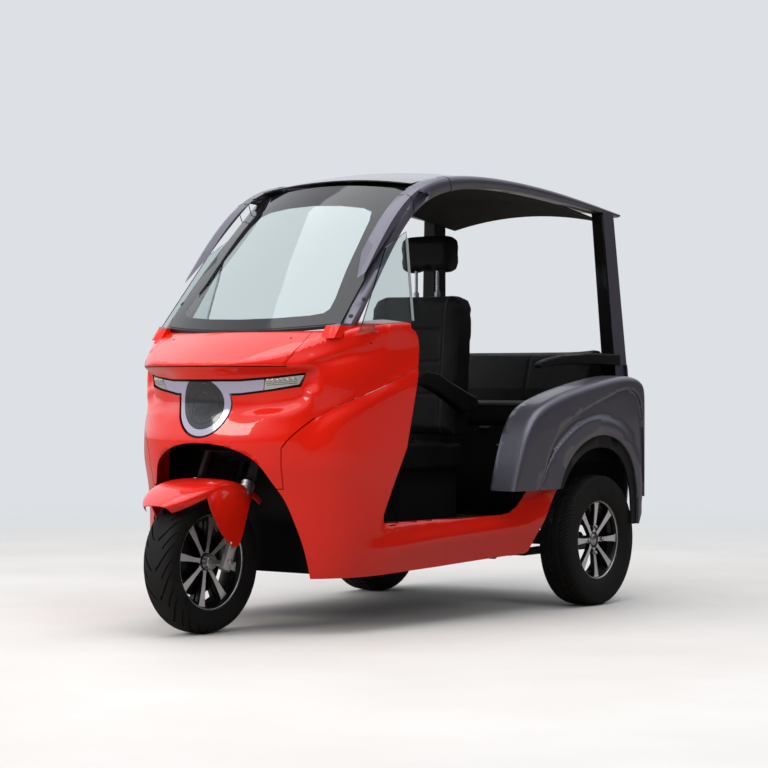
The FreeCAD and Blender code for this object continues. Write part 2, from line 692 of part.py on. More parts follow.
# Tail panel between the fenders, with lamps and a blank place for a number plate
tail_level_shares = [
    (0.215, 0.045), (0.245, 0.012), (0.30, 0.0), (0.40, 0.0), (0.50, 0.004), (0.545, 0.014),
    (0.562, 0.035)]
tail_plan_shares = [(0.0, 0.0), (0.30, 0.006), (0.60, 0.022), (0.74, 0.045), (0.815, 0.12)]
tail_wall = 8.0
plate_half_width, plate_half_height, plate_depth = 115.0, 75.0, 4.0
plate_level_share = 0.33
plate_hole_spacing, plate_hole_radius = 150.0, 3.5
tail_lamp_place_shares = (0.60, 0.45)
tail_lamp_radius, reflector_radius = 46.0, 24.0
tail_lamp_proud = 6.0
reflector_drop = 82.0
lamp_gap = 1.0


def tail_rows(depth):
    rows = []
    for z_share, lean in tail_level_shares:
        half = [(across(x), station(2) - (y + lean) * rear_overhang - depth)
                for x, y in tail_plan_shares]
        rows.append([V(x, y, height(z_share)) for x, y in both(half)])
    return rows


def along(x, z, radius, start, end):
    """A rod that runs along the car."""
    return rod(V(x, start, z), V(x, end, z), radius)


tail_panel = slab(tail_rows(0), tail_rows(tail_wall))
tail_y = station(2)
plate_z = height(plate_level_share)
tail_panel = tail_panel.cut(block(
    -plate_half_width, plate_half_width, tail_y - plate_depth, tail_y + cut_overrun,
    plate_z - plate_half_height, plate_z + plate_half_height))
tail_lamp_x, tail_lamp_z = across(tail_lamp_place_shares[0]), height(tail_lamp_place_shares[1])
tail_lamp_list = []
for side in (-1, 1):
    hole_x = side * plate_hole_spacing / 2
    tail_panel = tail_panel.cut(along(hole_x, plate_z, plate_hole_radius, tail_y - cut_overrun, tail_y))
    for radius, z in ((tail_lamp_radius, tail_lamp_z), (reflector_radius, tail_lamp_z - reflector_drop)):
        x = side * tail_lamp_x
        hole = along(x, z, radius + lamp_gap, tail_y - 2 * cut_overrun, tail_y + cut_overrun)
        tail_panel = tail_panel.cut(hole)
        full = along(x, z, radius, tail_y - 2 * cut_overrun, tail_y + cut_overrun)
        lens = slab(tail_rows(-tail_lamp_proud), tail_rows(tail_wall))
        tail_lamp_list.append(lens.common(full))
tail_panel = largest(tail_panel.cut(rear_fender_left).cut(rear_fender_right).cut(
    rear_pillar_left).cut(rear_pillar_right))
tail_lamps = Part.makeCompound(tail_lamp_list)

# Chassis frame: two rails, cross tubes, spring hangers and a lashing eye
rail_place_share = 0.43
tube_w, tube_h = 40.0, 50.0
rail_x = across(rail_place_share)
frame_low = frame_top - tube_h
frame_start_share, frame_end_share = 0.245, 1.93
cross_shares = [0.26, 0.55, 0.80]
spring_x_share = 0.60
spring_eye_shares = (0.730, 1.88)
spring_width = 50.0
eye_radius = 15.0
eye_drop = 8.0
hanger_wall = 8.0
spring_x = across(spring_x_share)
frame_parts = [block(side * rail_x - tube_w / 2, side * rail_x + tube_w / 2,
                     station(frame_start_share), station(frame_end_share), frame_low, frame_top)
               for side in (-1, 1)]
for share in cross_shares:
    frame_parts.append(block(-rail_x, rail_x, station(share) - tube_w / 2,
                             station(share) + tube_w / 2, frame_low, frame_top))
axle_radius = 28.0
leaf_wall = 8.0
leaf_top = axle_rear_z - axle_radius
eye_z = leaf_top - leaf_wall / 2 - eye_drop
for share in spring_eye_shares:
    reach = spring_x + spring_width / 2
    y = station(share)
    frame_parts.append(block(-reach, reach, y - tube_w / 2, y + tube_w / 2, frame_low, frame_top))
    for side in (-1, 1):
        frame_parts.append(block(side * spring_x - spring_width / 2, side * spring_x + spring_width / 2,
                                 y - hanger_wall / 2, y + hanger_wall / 2,
                                 eye_z + eye_radius, frame_low))
bumper_radius, bumper_half_share, bumper_inset = 20.0, 0.66, 26.0
bumper_y = tail_y - bumper_inset
bumper_z = frame_top - tube_h / 2
bumper_half = across(bumper_half_share)
frame_parts.append(rod(V(-bumper_half, bumper_y, bumper_z), V(bumper_half, bumper_y, bumper_z),
                       bumper_radius))
for side in (-1, 1):
    frame_parts.append(block(side * rail_x - tube_w / 2, side * rail_x + tube_w / 2,
                             station(frame_end_share), bumper_y, bumper_z - bumper_radius,
                             bumper_z + bumper_radius))
eye_wall, eye_ring, eye_bore, eye_edge = 14.0, 24.0, 12.0, 4.0
eye_y = station(spring_eye_shares[1]) - tube_w / 2 - eye_edge - eye_bore
lashing_hole = rod(V(0, eye_y, bumper_z - eye_wall), V(0, eye_y, bumper_z + eye_wall), eye_bore)
lashing_eye = rod(V(0, eye_y, bumper_z - eye_wall / 2), V(0, eye_y, bumper_z + eye_wall / 2),
                  eye_ring).fuse(block(-eye_ring, eye_ring, eye_y, station(spring_eye_shares[1]),
                                       bumper_z - eye_wall / 2, bumper_z + eye_wall / 2)).cut(lashing_hole)
frame_parts.append(lashing_eye)
jack_half, jack_thick = 45.0, 6.0
jack_share = 0.40
for side in (-1, 1):
    frame_parts.append(block(side * rail_x - jack_half, side * rail_x + jack_half,
                             station(jack_share) - jack_half, station(jack_share) + jack_half,
                             frame_low - jack_thick, frame_low))

# Steering axis, raked back
rake_degrees = 25.0
rake = math.radians(rake_degrees)
fork_offset = 40.0
fork_half = 110.0
fork_leg_radius = 19.0
stem_radius = 14.0
stem_clearance = 0.06
head_radius = 26.0
head_up = 430.0
head_length = 150.0
head_gap = 4.0
yoke_wall = 26.0
yoke_margin = 7.0
yoke_back = 26.0
yoke_back_half = 34.0
axis_up = V(0, math.sin(rake), math.cos(rake))
axis_ahead = V(0, -math.cos(rake), math.sin(rake))
front_centre = V(0, front_axle_y, axle_front_z)
axis_foot = front_centre - axis_ahead * fork_offset
lower_yoke_up = head_up - head_gap
upper_yoke_up = head_up + head_length + head_gap


def on_axis(up):
    return axis_foot + axis_up * up


brace_radius = 16.0
brace_share = 0.26
brace_up_shares = (0.25, 0.80)
for side in (-1, 1):
    for up_share in brace_up_shares:
        foot = V(side * rail_x, station(brace_share), frame_top - tube_h / 2)
        head = on_axis(head_up + head_length * up_share) + V(side * head_radius / 2, head_radius, 0)
        frame_parts.append(rod(foot, head, brace_radius))
braces = frame_parts[-4:]
frame_parts.append(rod(on_axis(head_up), on_axis(head_up + head_length), head_radius))
head_bore = rod(on_axis(head_up - cut_overrun), on_axis(head_up + head_length + cut_overrun),
                stem_radius + stem_clearance)
chassis_frame = joined(frame_parts).cut(head_bore)
floor_pan = block(-floor_half, floor_half, station(floor_front_share), bench_front,
                  frame_top, floor_top)
floor_pan = largest(floor_pan.cut(chassis_frame).cut(side_panel_left).cut(side_panel_right))

# Fork with its yokes, stem and spindle
leg_foot_drop = 26.0
yoke_reach = fork_offset + fork_leg_radius + yoke_margin


def leg_point(side, up):
    return V(side * fork_half, 0, 0) + front_centre + axis_up * up


def yoke(low, high):
    """A flat plate from the stem to both legs, square to the steering axis."""
    half = fork_half + fork_leg_radius + yoke_margin
    leg_back = fork_offset - fork_leg_radius - yoke_margin
    outline = both([(0, -yoke_back), (yoke_back_half, -yoke_back), (half, leg_back),
                    (half, yoke_reach)])
    face = Part.Face(closed([on_axis(low) + V(x, 0, 0) + axis_ahead * ahead for x, ahead in outline]))
    return face.extrude(axis_up * (high - low))


stem_reach = 86.0
spindle_radius = 8.0
fork_parts = [yoke(lower_yoke_up - yoke_wall, lower_yoke_up),
              yoke(upper_yoke_up, upper_yoke_up + yoke_wall)]
for side in (-1, 1):
    fork_parts.append(rod(leg_point(side, 0) - axis_up * leg_foot_drop,
                          leg_point(side, upper_yoke_up + yoke_wall), fork_leg_radius))
stem_top = upper_yoke_up + yoke_wall + stem_reach
fork_parts.append(rod(on_axis(lower_yoke_up - yoke_wall), on_axis(stem_top), stem_radius))
fork_parts.append(rod(leg_point(-1, 0), leg_point(1, 0), spindle_radius))
fork = joined(fork_parts)

# Handlebar, set back from the stem
bar_half = 270.0
bar_radius = 11.0
bar_back = 118.0
bar_up = 157.0
grip_length = 115.0
grip_radius = 17.0
clamp_half = 30.0
clamp_radius = 20.0
binnacle_half, binnacle_depth, binnacle_height = 75.0, 70.0, 34.0
bar_centre = on_axis(stem_top + bar_up) - axis_ahead * bar_back


def across_bar(start, end, radius):
    return rod(bar_centre + V(start, 0, 0), bar_centre + V(end, 0, 0), radius)


handlebar = joined([
    across_bar(-bar_half, bar_half, bar_radius), across_bar(-clamp_half, clamp_half, clamp_radius),
    across_bar(-bar_half, grip_length - bar_half, grip_radius),
    across_bar(bar_half - grip_length, bar_half, grip_radius),
    rod(on_axis(stem_top), bar_centre, stem_radius),
    rod(on_axis(stem_top - 2 * stem_radius), on_axis(stem_top), clamp_radius),
    block(-binnacle_half, binnacle_half, bar_centre.y - binnacle_depth, bar_centre.y,
          bar_centre.z + bar_radius / 2, bar_centre.z + bar_radius / 2 + binnacle_height)])
handlebar = largest(handlebar.cut(fork))

# Front fender: a crowned blade over the tyre with a guard down each fork leg
fender_wall = 4.0
leg_fit = 0.5
blade_half = fork_half + fork_leg_radius + fender_wall
# turn from upright as a share of a right angle, radius, half width
blade_row_shares = [
    (-0.565, 1.30, 0.42), (-0.52, 1.275, 0.62), (-0.44, 1.235, 0.80), (-0.32, 1.20, 0.95),
    (-0.16, 1.185, 1.0), (0.02, 1.18, 1.0), (0.20, 1.175, 1.0), (0.36, 1.175, 0.99),
    (0.44, 1.18, 0.95)]
blade_section_shares = [(0.0, 0.0), (0.40, -0.004), (0.74, -0.018), (0.93, -0.045), (0.99, -0.09),
                        (1.0, -0.15)]
blade_edge_share = 1.045
guard_shares = [
    (-0.514, 0.955), (-0.436, 0.757), (-0.329, 0.584), (-0.226, 0.444), (-0.082, 0.296),
    (0.041, 0.218), (0.165, 0.235), (0.247, 0.399), (0.35, 0.687), (0.461, 0.975), (0.247, 1.058),
    (0.0, 1.10), (-0.247, 1.058)]


def blade_rows(inset):
    rows = []
    for turn, radius, width in blade_row_shares:
        angle = turn * math.pi / 2
        half = []
        for x, drop in blade_section_shares:
            reach = (radius + drop) * front_tyre_radius - inset
            half.append((x * width * (blade_half - inset), reach))
        rows.append([front_centre + V(x, reach * math.sin(angle), reach * math.cos(angle))
                     for x, reach in both(half)])
    return rows


guard_outline = [(front_axle_y + y * front_tyre_radius, axle_front_z + z * front_tyre_radius)
                 for y, z in guard_shares]
guard_round = rod(front_centre - V(2 * blade_half, 0, 0), front_centre + V(2 * blade_half, 0, 0),
                  blade_edge_share * front_tyre_radius)
guards = [side_prism(guard_outline, *ends).common(guard_round)
          for ends in ((-blade_half, fender_wall - blade_half), (blade_half - fender_wall, blade_half))]
front_fender = slab(blade_rows(0), blade_rows(fender_wall)).fuse(guards)
for side in (-1, 1):
    front_fender = front_fender.cut(rod(leg_point(side, 0) - axis_up * cut_overrun,
                                        leg_point(side, upper_yoke_up), fork_leg_radius + leg_fit))
front_fender = largest(front_fender.cut(fork))

# Wheels
front_rim_radius = 165.0
rear_rim_radius = 152.0
rim_lip = 16.0
spoke_count = 8
spoke_foot_width, spoke_tip_width = 34.0, 24.0
spoke_depth = 22.0
spoke_set_in = 8.0
spoke_overlap = 4.0
hub_radius = 34.0
running = 0.05
bead_share = 0.74
hub_back_share = 0.6
# radius between the rim and the tread, half width
tyre_profile_shares = [(0.0, 0.74), (0.30, 0.97), (0.58, 1.0), (0.88, 0.80), (1.0, 0.38)]


full_turn = 360


def revolve(points, centre):
    """A ring from (radius, x) points turned about the wheel's own axis."""
    ring = Part.Face(closed([V(x, 0, r) for r, x in points])).revolve(
        V(0, 0, 0), V(1, 0, 0), full_turn)
    ring.translate(centre)
    return ring


def tyre(radius, width, rim_radius, centre):
    profile = [(rim_radius + (radius - rim_radius) * r, width / 2 * x)
               for r, x in tyre_profile_shares]
    return revolve(profile + [(r, -x) for r, x in reversed(profile)], centre)


def rim(rim_radius, width, bore, centre, outer_side):
    """Barrel, spokes and hub. The spokes stand near the side that shows."""
    half = width / 2 * bead_share
    inner = rim_radius - rim_lip
    barrel = revolve([(rim_radius, half), (rim_radius, -half), (inner, -half), (inner, half)],
                     V(0, 0, 0))
    face, back = half - spoke_set_in, -half * hub_back_share
    hub = revolve([(bore, face), (bore, back), (hub_radius, back), (hub_radius, face)], V(0, 0, 0))
    spokes = []
    for i in range(spoke_count):
        low, high = hub_radius - spoke_overlap, inner + spoke_overlap
        foot, tip = spoke_foot_width / 2, spoke_tip_width / 2
        outline = [V(face, -foot, low), V(face, foot, low), V(face, tip, high), V(face, -tip, high)]
        spoke = prism(closed(outline), V(-spoke_depth, 0, 0))
        spokes.append(spoke.rotate(V(0, 0, 0), V(1, 0, 0), 360 * i / spoke_count))
    wheel = joined([barrel, hub] + spokes)
    if outer_side < 0:
        wheel = mirrored(wheel)
    wheel.translate(centre)
    return wheel


left_centre = V(rear_track / 2, rear_axle_y, axle_rear_z)
right_centre = V(-rear_track / 2, rear_axle_y, axle_rear_z)
stub_radius = 15.0
front_tyre = tyre(front_tyre_radius, front_tyre_width, front_rim_radius, front_centre)
front_rim = rim(front_rim_radius, front_tyre_width, spindle_radius + running, front_centre, 1)
rear_tyre_left = tyre(rear_tyre_radius, rear_tyre_width, rear_rim_radius, left_centre)
rear_tyre_right = tyre(rear_tyre_radius, rear_tyre_width, rear_rim_radius, right_centre)
rear_bore = stub_radius + running
rear_rim_left = rim(rear_rim_radius, rear_tyre_width, rear_bore, left_centre, 1)
rear_rim_right = rim(rear_rim_radius, rear_tyre_width, rear_bore, right_centre, -1)

# Rear axle with its gear case, motor and leaf springs
stub_reach = 35.0
gear_half, gear_radius = 60.0, 68.0
motor_back, motor_radius, motor_length = 130.0, 66.0, 210.0
motor_overlap = 20.0
bridge_half_height = 40.0
leaf_count = 3
leaf_step_share = 0.22
tube_end = rear_track / 2 - rear_tyre_width / 2 * bead_share * hub_back_share - seat_gap
stub_end = rear_track / 2 + stub_reach


def across_axle(start, end, radius, ahead=0):
    return rod(V(start, rear_axle_y - ahead, axle_rear_z), V(end, rear_axle_y - ahead, axle_rear_z),
               radius)


axle_parts = [
    across_axle(-tube_end, tube_end, axle_radius), across_axle(-stub_end, stub_end, stub_radius),
    across_axle(-gear_half, gear_half, gear_radius),
    across_axle(-motor_overlap, motor_length - motor_overlap, motor_radius, motor_back),
    block(-motor_overlap, gear_half, rear_axle_y - motor_back, rear_axle_y,
          axle_rear_z - bridge_half_height, axle_rear_z + bridge_half_height)]
for side in (-1, 1):
    x_low = side * spring_x - spring_width / 2
    axle_parts.append(block(x_low, x_low + spring_width, rear_axle_y - axle_radius,
                            rear_axle_y + axle_radius, leaf_top - leaf_wall / 2, axle_rear_z))
    for i in range(leaf_count):
        keep = 1 - i * leaf_step_share
        start = rear_axle_y + (station(spring_eye_shares[0]) - rear_axle_y) * keep
        end = rear_axle_y + (station(spring_eye_shares[1]) - rear_axle_y) * keep
        top = leaf_top - i * leaf_wall
        drop = eye_drop * keep * keep
        line = [(start, top - drop), (rear_axle_y, top), (end, top - drop)]
        outline = line + [(y, z - leaf_wall) for y, z in reversed(line)]
        axle_parts.append(side_prism(outline, x_low, x_low + spring_width))
    for share in spring_eye_shares:
        axle_parts.append(rod(V(x_low, station(share), eye_z),
                              V(x_low + spring_width, station(share), eye_z), eye_radius))
rear_axle = joined(axle_parts)

# Battery box below the floor
battery_half, battery_length, battery_depth = 180.0, 300.0, 110.0
battery_share = 0.585
battery_box = block(-battery_half, battery_half, station(battery_share),
                    station(battery_share) + battery_length, frame_top - battery_depth, frame_top)
battery_box = battery_box.cut(chassis_frame)

# Passenger bench
bench_wall = 4.0
bench_half_share, bench_step_share = 0.797, 0.335
bench_wheel_gap = 27.5
bench_rear_share, bench_top_share = 1.70, 0.418
cushion_thick, cushion_front_overhang, cushion_side_gap = 95.0, 15.0, 14.0
cushion_rear_share = 1.30
bench_back_shares = [
    (1.27, 0.419), (1.30, 0.50), (1.42, 0.596), (1.50, 0.604), (1.62, 0.602), (1.68, 0.590),
    (1.66, 0.50), (1.60, 0.419)]
bench_low_half = rear_track / 2 - rear_tyre_width / 2 - bench_wheel_gap
bench_half = across(bench_half_share)
bench_rear, bench_top = station(bench_rear_share), height(bench_top_share)
bench_step = height(bench_step_share)


def bench_box(inset):
    low = block(inset - bench_low_half, bench_low_half - inset, bench_front + inset,
                bench_rear - inset, frame_top - inset, bench_step)
    high = block(inset - bench_half, bench_half - inset, bench_front + inset, bench_rear - inset,
                 bench_step - bench_wall + inset, bench_top - inset)
    return low.fuse(high)


bench_base = bench_box(0).cut(bench_box(bench_wall))
bench_base = largest(bench_base.cut(fender_body(0)).cut(mirrored(fender_body(0))))
cushion_half = bench_half - cushion_side_gap
bench_cushion = block(-cushion_half, cushion_half, bench_front - cushion_front_overhang,
                      station(cushion_rear_share), bench_top, bench_top + cushion_thick)
bench_rest_x_shares = (0.745, 0.80)
back_half = across(bench_rest_x_shares[0]) - seat_gap
bench_back = side_prism([(station(y), height(z)) for y, z in bench_back_shares],
                        -back_half, back_half).cut(bench_cushion)

# Driver's seat on the centre line
driver_half = 225.0
pedestal_half = 180.0
pedestal_shares = (0.535, 0.755)
pedestal_top_share = 0.322
pedestal_top = height(pedestal_top_share)
driver_cushion_shares = [
    (0.505, 0.350), (0.515, 0.378), (0.54, 0.386), (0.60, 0.383), (0.76, 0.380), (0.77, 0.322),
    (0.52, 0.322)]
driver_back_shares = [
    (0.715, 0.388), (0.722, 0.45), (0.733, 0.60), (0.744, 0.715), (0.752, 0.7285), (0.790, 0.7285),
    (0.800, 0.715), (0.792, 0.60), (0.780, 0.45), (0.772, 0.388)]
back_round_shares = [(0.0, 0.30), (1.0, 0.30), (1.0, 0.665), (0.975, 0.695), (0.90, 0.717), (0.74, 0.7275)]
headrest_half = 120.0
headrest_round_shares = [
    (0.0, 0.7705), (0.80, 0.7705), (0.96, 0.780), (1.0, 0.797), (1.0, 0.838), (0.95, 0.855), (0.78, 0.865)]
headrest_shares = [
    (0.776, 0.785), (0.784, 0.772), (0.812, 0.772), (0.824, 0.785), (0.826, 0.850),
    (0.816, 0.864), (0.786, 0.864), (0.776, 0.850)]
post_half, post_radius = 50.0, 7.0
post_shares = (0.790, 0.718, 0.790)


def seat_form(shares, half):
    return side_prism([(station(y), height(z)) for y, z in shares], -half, half)


def rounded(form, shares, half):
    """The form within an outline across the car that rounds its upper corners."""
    outline = both([(x * half, height(z)) for x, z in shares])
    return form.common(front_prism(outline, -far_y, far_y))


driver_seat_base = block(-pedestal_half, pedestal_half, station(pedestal_shares[0]),
                         station(pedestal_shares[1]), floor_top, pedestal_top)
driver_seat_cushion = seat_form(driver_cushion_shares, driver_half)
back_parts = [
    rounded(seat_form(driver_back_shares, driver_half), back_round_shares, driver_half),
    rounded(seat_form(headrest_shares, headrest_half), headrest_round_shares, headrest_half)]
for side in (-1, 1):
    y = station(post_shares[0])
    back_parts.append(rod(V(side * post_half, y, height(post_shares[1])),
                          V(side * post_half, y, height(post_shares[2])), post_radius))
driver_seat_back = joined(back_parts).cut(driver_seat_cushion)

# Armrests: one folding rest beside the driver and a rail above each rear fender
driver_rest_shares = [
    (0.530, 0.522), (0.537, 0.539), (0.560, 0.547), (0.612, 0.541), (0.735, 0.495), (0.768, 0.484),
    (0.772, 0.466), (0.760, 0.450), (0.711, 0.449), (0.632, 0.484), (0.560, 0.510), (0.538, 0.512)]
driver_rest_width = 44.0
bench_rest_shares = [
    (0.822, 0.557), (0.836, 0.566), (0.865, 0.574), (0.929, 0.584), (1.16, 0.591), (1.78, 0.590),
    (1.78, 0.560), (0.929, 0.557), (0.86, 0.553), (0.832, 0.550)]


def rest(shares, x_low, x_high):
    return side_prism([(station(y), height(z)) for y, z in shares], x_low, x_high)


driver_rest = rest(driver_rest_shares, driver_half, driver_half + driver_rest_width)
bench_rest = rest(bench_rest_shares, across(bench_rest_x_shares[0]), across(bench_rest_x_shares[1]))
bench_rest = largest(bench_rest.cut(fender_full).cut(rear_fender_left).cut(rear_pillar_left))
armrests = Part.makeCompound([driver_rest, bench_rest, mirrored(bench_rest)])

# Dashboard below the windscreen
dash_shares = [(0.118, 0.600), (0.150, 0.617), (0.172, 0.617), (0.182, 0.602), (0.182, 0.560),
               (0.160, 0.535), (0.125, 0.548)]
dash_half_share = 0.70
dash_half = across(dash_half_share)
dashboard = side_prism([(station(y), height(z)) for y, z in dash_shares], -dash_half, dash_half)
dashboard = dashboard.cut(screen_sheet(rail_width, -2 * cut_overrun, screen_seal_wall + panel_gap))
dashboard = largest(dashboard.common(cowl(panel_wall + panel_gap)))

# Wheel-well liner behind the front wheel
liner_line_shares = [(0.185, 0.116), (0.195, 0.18), (0.225, 0.36), (0.256, 0.515)]
liner_wall = 4.0
liner_line = [(station(y), height(z)) for y, z in liner_line_shares]
front_liner = side_prism(liner_line + [(y + liner_wall, z) for y, z in reversed(liner_line)],
                         -overall_width, overall_width)
front_liner = front_liner.common(cowl(panel_wall))
for brace in braces:
    front_liner = front_liner.cut(brace)
front_liner = largest(front_liner.cut(chassis_frame).cut(side_panel_left).cut(side_panel_right))

nodes = {
    "chassis_frame": chassis_frame,
    "floor_pan": floor_pan,
    "nose_panel": nose_panel,
    "hood_panel": hood_panel,
    "side_panel_left": side_panel_left,
    "side_panel_right": side_panel_right,
    "front_liner": front_liner,
    "lamp_housing": lamp_housing,
    "lamp_strip": lamp_strip,
    "headlamp_lens": headlamp_lens,
    "indicators": indicators,
    "dashboard": dashboard,
    "windscreen": windscreen,
    "windscreen_seal": windscreen_seal,
    "quarter_glasses": quarter_glasses,
    "roof_rail_left": roof_rail_left,
    "roof_rail_right": roof_rail_right,
    "roof_panel": roof_panel,
    "headliner": headliner,
    "rear_pillar_left": rear_pillar_left,
    "rear_pillar_right": rear_pillar_right,
    "rear_fender_left": rear_fender_left,
    "rear_fender_right": rear_fender_right,
    "arch_trims": arch_trims,
    "tail_panel": tail_panel,
    "tail_lamps": tail_lamps,
    "bench_base": bench_base,
    "bench_cushion": bench_cushion,
    "bench_back": bench_back,
    "armrests": armrests,
    "battery_box": battery_box,
    "driver_seat_base": driver_seat_base,
    "driver_seat_cushion": driver_seat_cushion,
    "driver_seat_back": driver_seat_back,
    "rear_axle": rear_axle,
    "fork": fork,
    "handlebar": handlebar,
    "front_fender": front_fender,
    "front_tyre": front_tyre,
    "front_rim": front_rim,
    "rear_tyre_left": rear_tyre_left,
    "rear_rim_left": rear_rim_left,
    "rear_tyre_right": rear_tyre_right,
    "rear_rim_right": rear_rim_right,
}

litre = 1e6
os.makedirs("parts", exist_ok=True)
for name, shape in nodes.items():
    print(name, len(shape.Solids), shape.isValid(), round(shape.Volume / litre, 3))
    shape.exportStep("parts/" + name + ".step")
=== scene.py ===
# %% [markdown]
# # Three wheeled cabin car
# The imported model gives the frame. Body panels, glass and running gear keep the frame's shapes. Tyres,
# rims, seats and small fittings are modelled here.

import math
from math import cos, pi, radians, sin

import bmesh
import bpy
from mathutils import Matrix, Vector
from mathutils.bvhtree import BVHTree
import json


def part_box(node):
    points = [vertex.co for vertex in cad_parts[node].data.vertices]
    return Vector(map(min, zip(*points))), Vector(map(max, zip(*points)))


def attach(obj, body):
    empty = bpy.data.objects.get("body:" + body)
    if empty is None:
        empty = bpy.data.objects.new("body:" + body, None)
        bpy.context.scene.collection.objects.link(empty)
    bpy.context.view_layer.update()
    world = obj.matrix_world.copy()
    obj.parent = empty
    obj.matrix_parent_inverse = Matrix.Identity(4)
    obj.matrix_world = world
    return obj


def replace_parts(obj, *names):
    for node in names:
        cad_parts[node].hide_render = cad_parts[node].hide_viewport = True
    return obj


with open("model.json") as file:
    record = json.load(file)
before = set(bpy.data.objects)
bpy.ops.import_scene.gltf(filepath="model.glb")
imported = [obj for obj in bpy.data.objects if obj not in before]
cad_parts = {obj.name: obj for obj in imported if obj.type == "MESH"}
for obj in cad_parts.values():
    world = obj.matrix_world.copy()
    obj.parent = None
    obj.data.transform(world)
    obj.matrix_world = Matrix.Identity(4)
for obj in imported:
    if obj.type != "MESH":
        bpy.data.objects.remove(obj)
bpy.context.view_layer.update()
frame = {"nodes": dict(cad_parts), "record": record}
MM = 0.001

# %% [markdown]
# ## Shader helpers
# Every surface is a small graph of shader nodes. These helpers add a node, and most of them return the
# output that the next node takes.


# %%
def linear(hex_colour):
    """A hex colour as linear RGBA."""
    values = [int(hex_colour[k:k + 2], 16) / 255 for k in (1, 3, 5)]
    return [v / 12.92 if v <= 0.04045 else ((v + 0.055) / 1.055) ** 2.4 for v in values] + [1.0]


def add(tree, kind, inputs=None, **settings):
    """Adds a shader node. An input's value may be an output socket, which is then linked."""
    node = tree.nodes.new("ShaderNode" + kind)
    for name, value in settings.items():
        setattr(node, name, value)
    for name, value in (inputs or {}).items():
        if isinstance(value, bpy.types.NodeSocket):
            tree.links.new(value, node.inputs[name])
        else:
            node.inputs[name].default_value = value
    return node


def output(tree, kind, which, inputs=None, **settings):
    """Adds a node and returns one of its outputs."""
    return add(tree, kind, inputs, **settings).outputs[which]


def material(name, **inputs):
    """A material with a Principled shader. Returns the material, its tree and the shader."""
    mat = bpy.data.materials.new(name)
    mat.use_nodes = True
    shader = mat.node_tree.nodes["Principled BSDF"]
    for key, value in inputs.items():
        shader.inputs[key.replace("_", " ")].default_value = value
    return mat, mat.node_tree, shader


def drive(tree, shader, **sockets):
    """Links outputs to the shader's inputs."""
    for key, socket in sockets.items():
        tree.links.new(socket, shader.inputs[key.replace("_", " ")])


def coords(tree):
    return output(tree, "TexCoord", "Object")


def along(tree, vector, axis="Z"):
    return output(tree, "SeparateXYZ", axis, {"Vector": vector})


def noise(tree, at, scale, detail=4.0, rough=0.55):
    return output(tree, "TexNoise", "Fac", {
        "Vector": at, "Scale": scale, "Detail": detail, "Roughness": rough})


def combined(tree, operation, one, other):
    return output(tree, "Math", 0, {0: one, 1: other}, operation=operation)


def mixed(tree, factor, first, second):
    """The first colour where the factor is zero, the second where it is one."""
    return output(tree, "Mix", 2, {"Factor": factor, 6: first, 7: second},
                  data_type="RGBA")


def spread(tree, factor, low, high, start=0.3, end=0.7):
    """A value or colour that runs from low to high as the factor goes from start to end."""
    if isinstance(low, (int, float)):
        return output(tree, "MapRange", "Result", {
            "Value": factor, "From Min": start, "From Max": end, "To Min": low, "To Max": high})
    node = add(tree, "ValToRGB", {"Fac": factor})
    for element, position, colour in zip(node.color_ramp.elements, (start, end), (low, high)):
        element.position, element.color = position, colour
    return node.outputs["Color"]


def bump(tree, shader, height, distance, strength):
    drive(tree, shader, Normal=output(tree, "Bump", "Normal", {
        "Height": height, "Distance": distance, "Strength": strength}))


# %% [markdown]
# ## Materials
# Paint, moulded plastic, vinyl, rubber and glass each have one function. Colour and gloss drift a little
# over every surface, as they do on real parts, and a fine grain breaks up the reflections.


# %%
def paint(name, dark, light, rough, metallic=0.0, flakes=0.0, coat=1.0, dust_and_shade_colour="#9A8C7E",
          dust_and_shade_top=0.34, dust_and_shade_most=0.16):
    """Glossy paint: slight colour drift, orange peel, and a colour towards the ground: by default a film of
    dust, and where a darker tone of the paint is given, as on the red, painted shade.
    """
    mat, tree, shader = material(name, Metallic=metallic, Coat_Weight=coat, Coat_Roughness=0.03,
                                 Specular_IOR_Level=0.12)
    at = coords(tree)
    colour = spread(tree, noise(tree, at, 1.7, 3.0), linear(dark), linear(light), 0.25, 0.75)
    # Towards the ground the colour turns to the given low colour. On most paints this is dust; on the red
    # it is a darker red that is painted shade.
    low = spread(tree, along(tree, at), 1.0, 0.0, 0.12, dust_and_shade_top)
    patchy_dust_and_shade = spread(tree, noise(tree, at, 7.0, 6.0), dust_and_shade_most * 0.7, dust_and_shade_most, 0.3, 0.75)
    dust_and_shade = combined(tree, "MULTIPLY", low, patchy_dust_and_shade)
    drive(tree, shader, Base_Color=mixed(tree, dust_and_shade, colour, linear(dust_and_shade_colour)),
          Roughness=spread(tree, dust_and_shade, rough, rough + 0.15, 0.0, 1.0))
    peel = noise(tree, at, 150.0, 1.0)
    if flakes:
        cells = output(tree, "TexVoronoi", "Color", {"Vector": at, "Scale": 1400.0})
        peel = output(tree, "Mix", 0, {"Factor": flakes, 2: peel, 3: cells})
    bump(tree, shader, peel, 0.0004, 0.10)
    return mat


def worn(name, scale, detail, dark, light, least_rough, most_rough, **inputs):
    """A material whose colour and gloss drift together. Returns it, its tree, shader and place."""
    mat, tree, shader = material(name, **inputs)
    at = coords(tree)
    drift = noise(tree, at, scale, detail)
    drive(tree, shader, Base_Color=spread(tree, drift, linear(dark), linear(light)),
          Roughness=spread(tree, drift, least_rough, most_rough))
    return mat, tree, shader, at


def grained(name, dark, light, rough, scale, depth, **inputs):
    """Moulded or painted surface with a fine grain and slightly uneven gloss."""
    mat, tree, shader, at = worn(name, scale / 60, 3.0, dark, light, rough - 0.06, rough + 0.08,
                                 **inputs)
    bump(tree, shader, noise(tree, at, scale, 5.0, 0.6), depth, 0.35)
    return mat


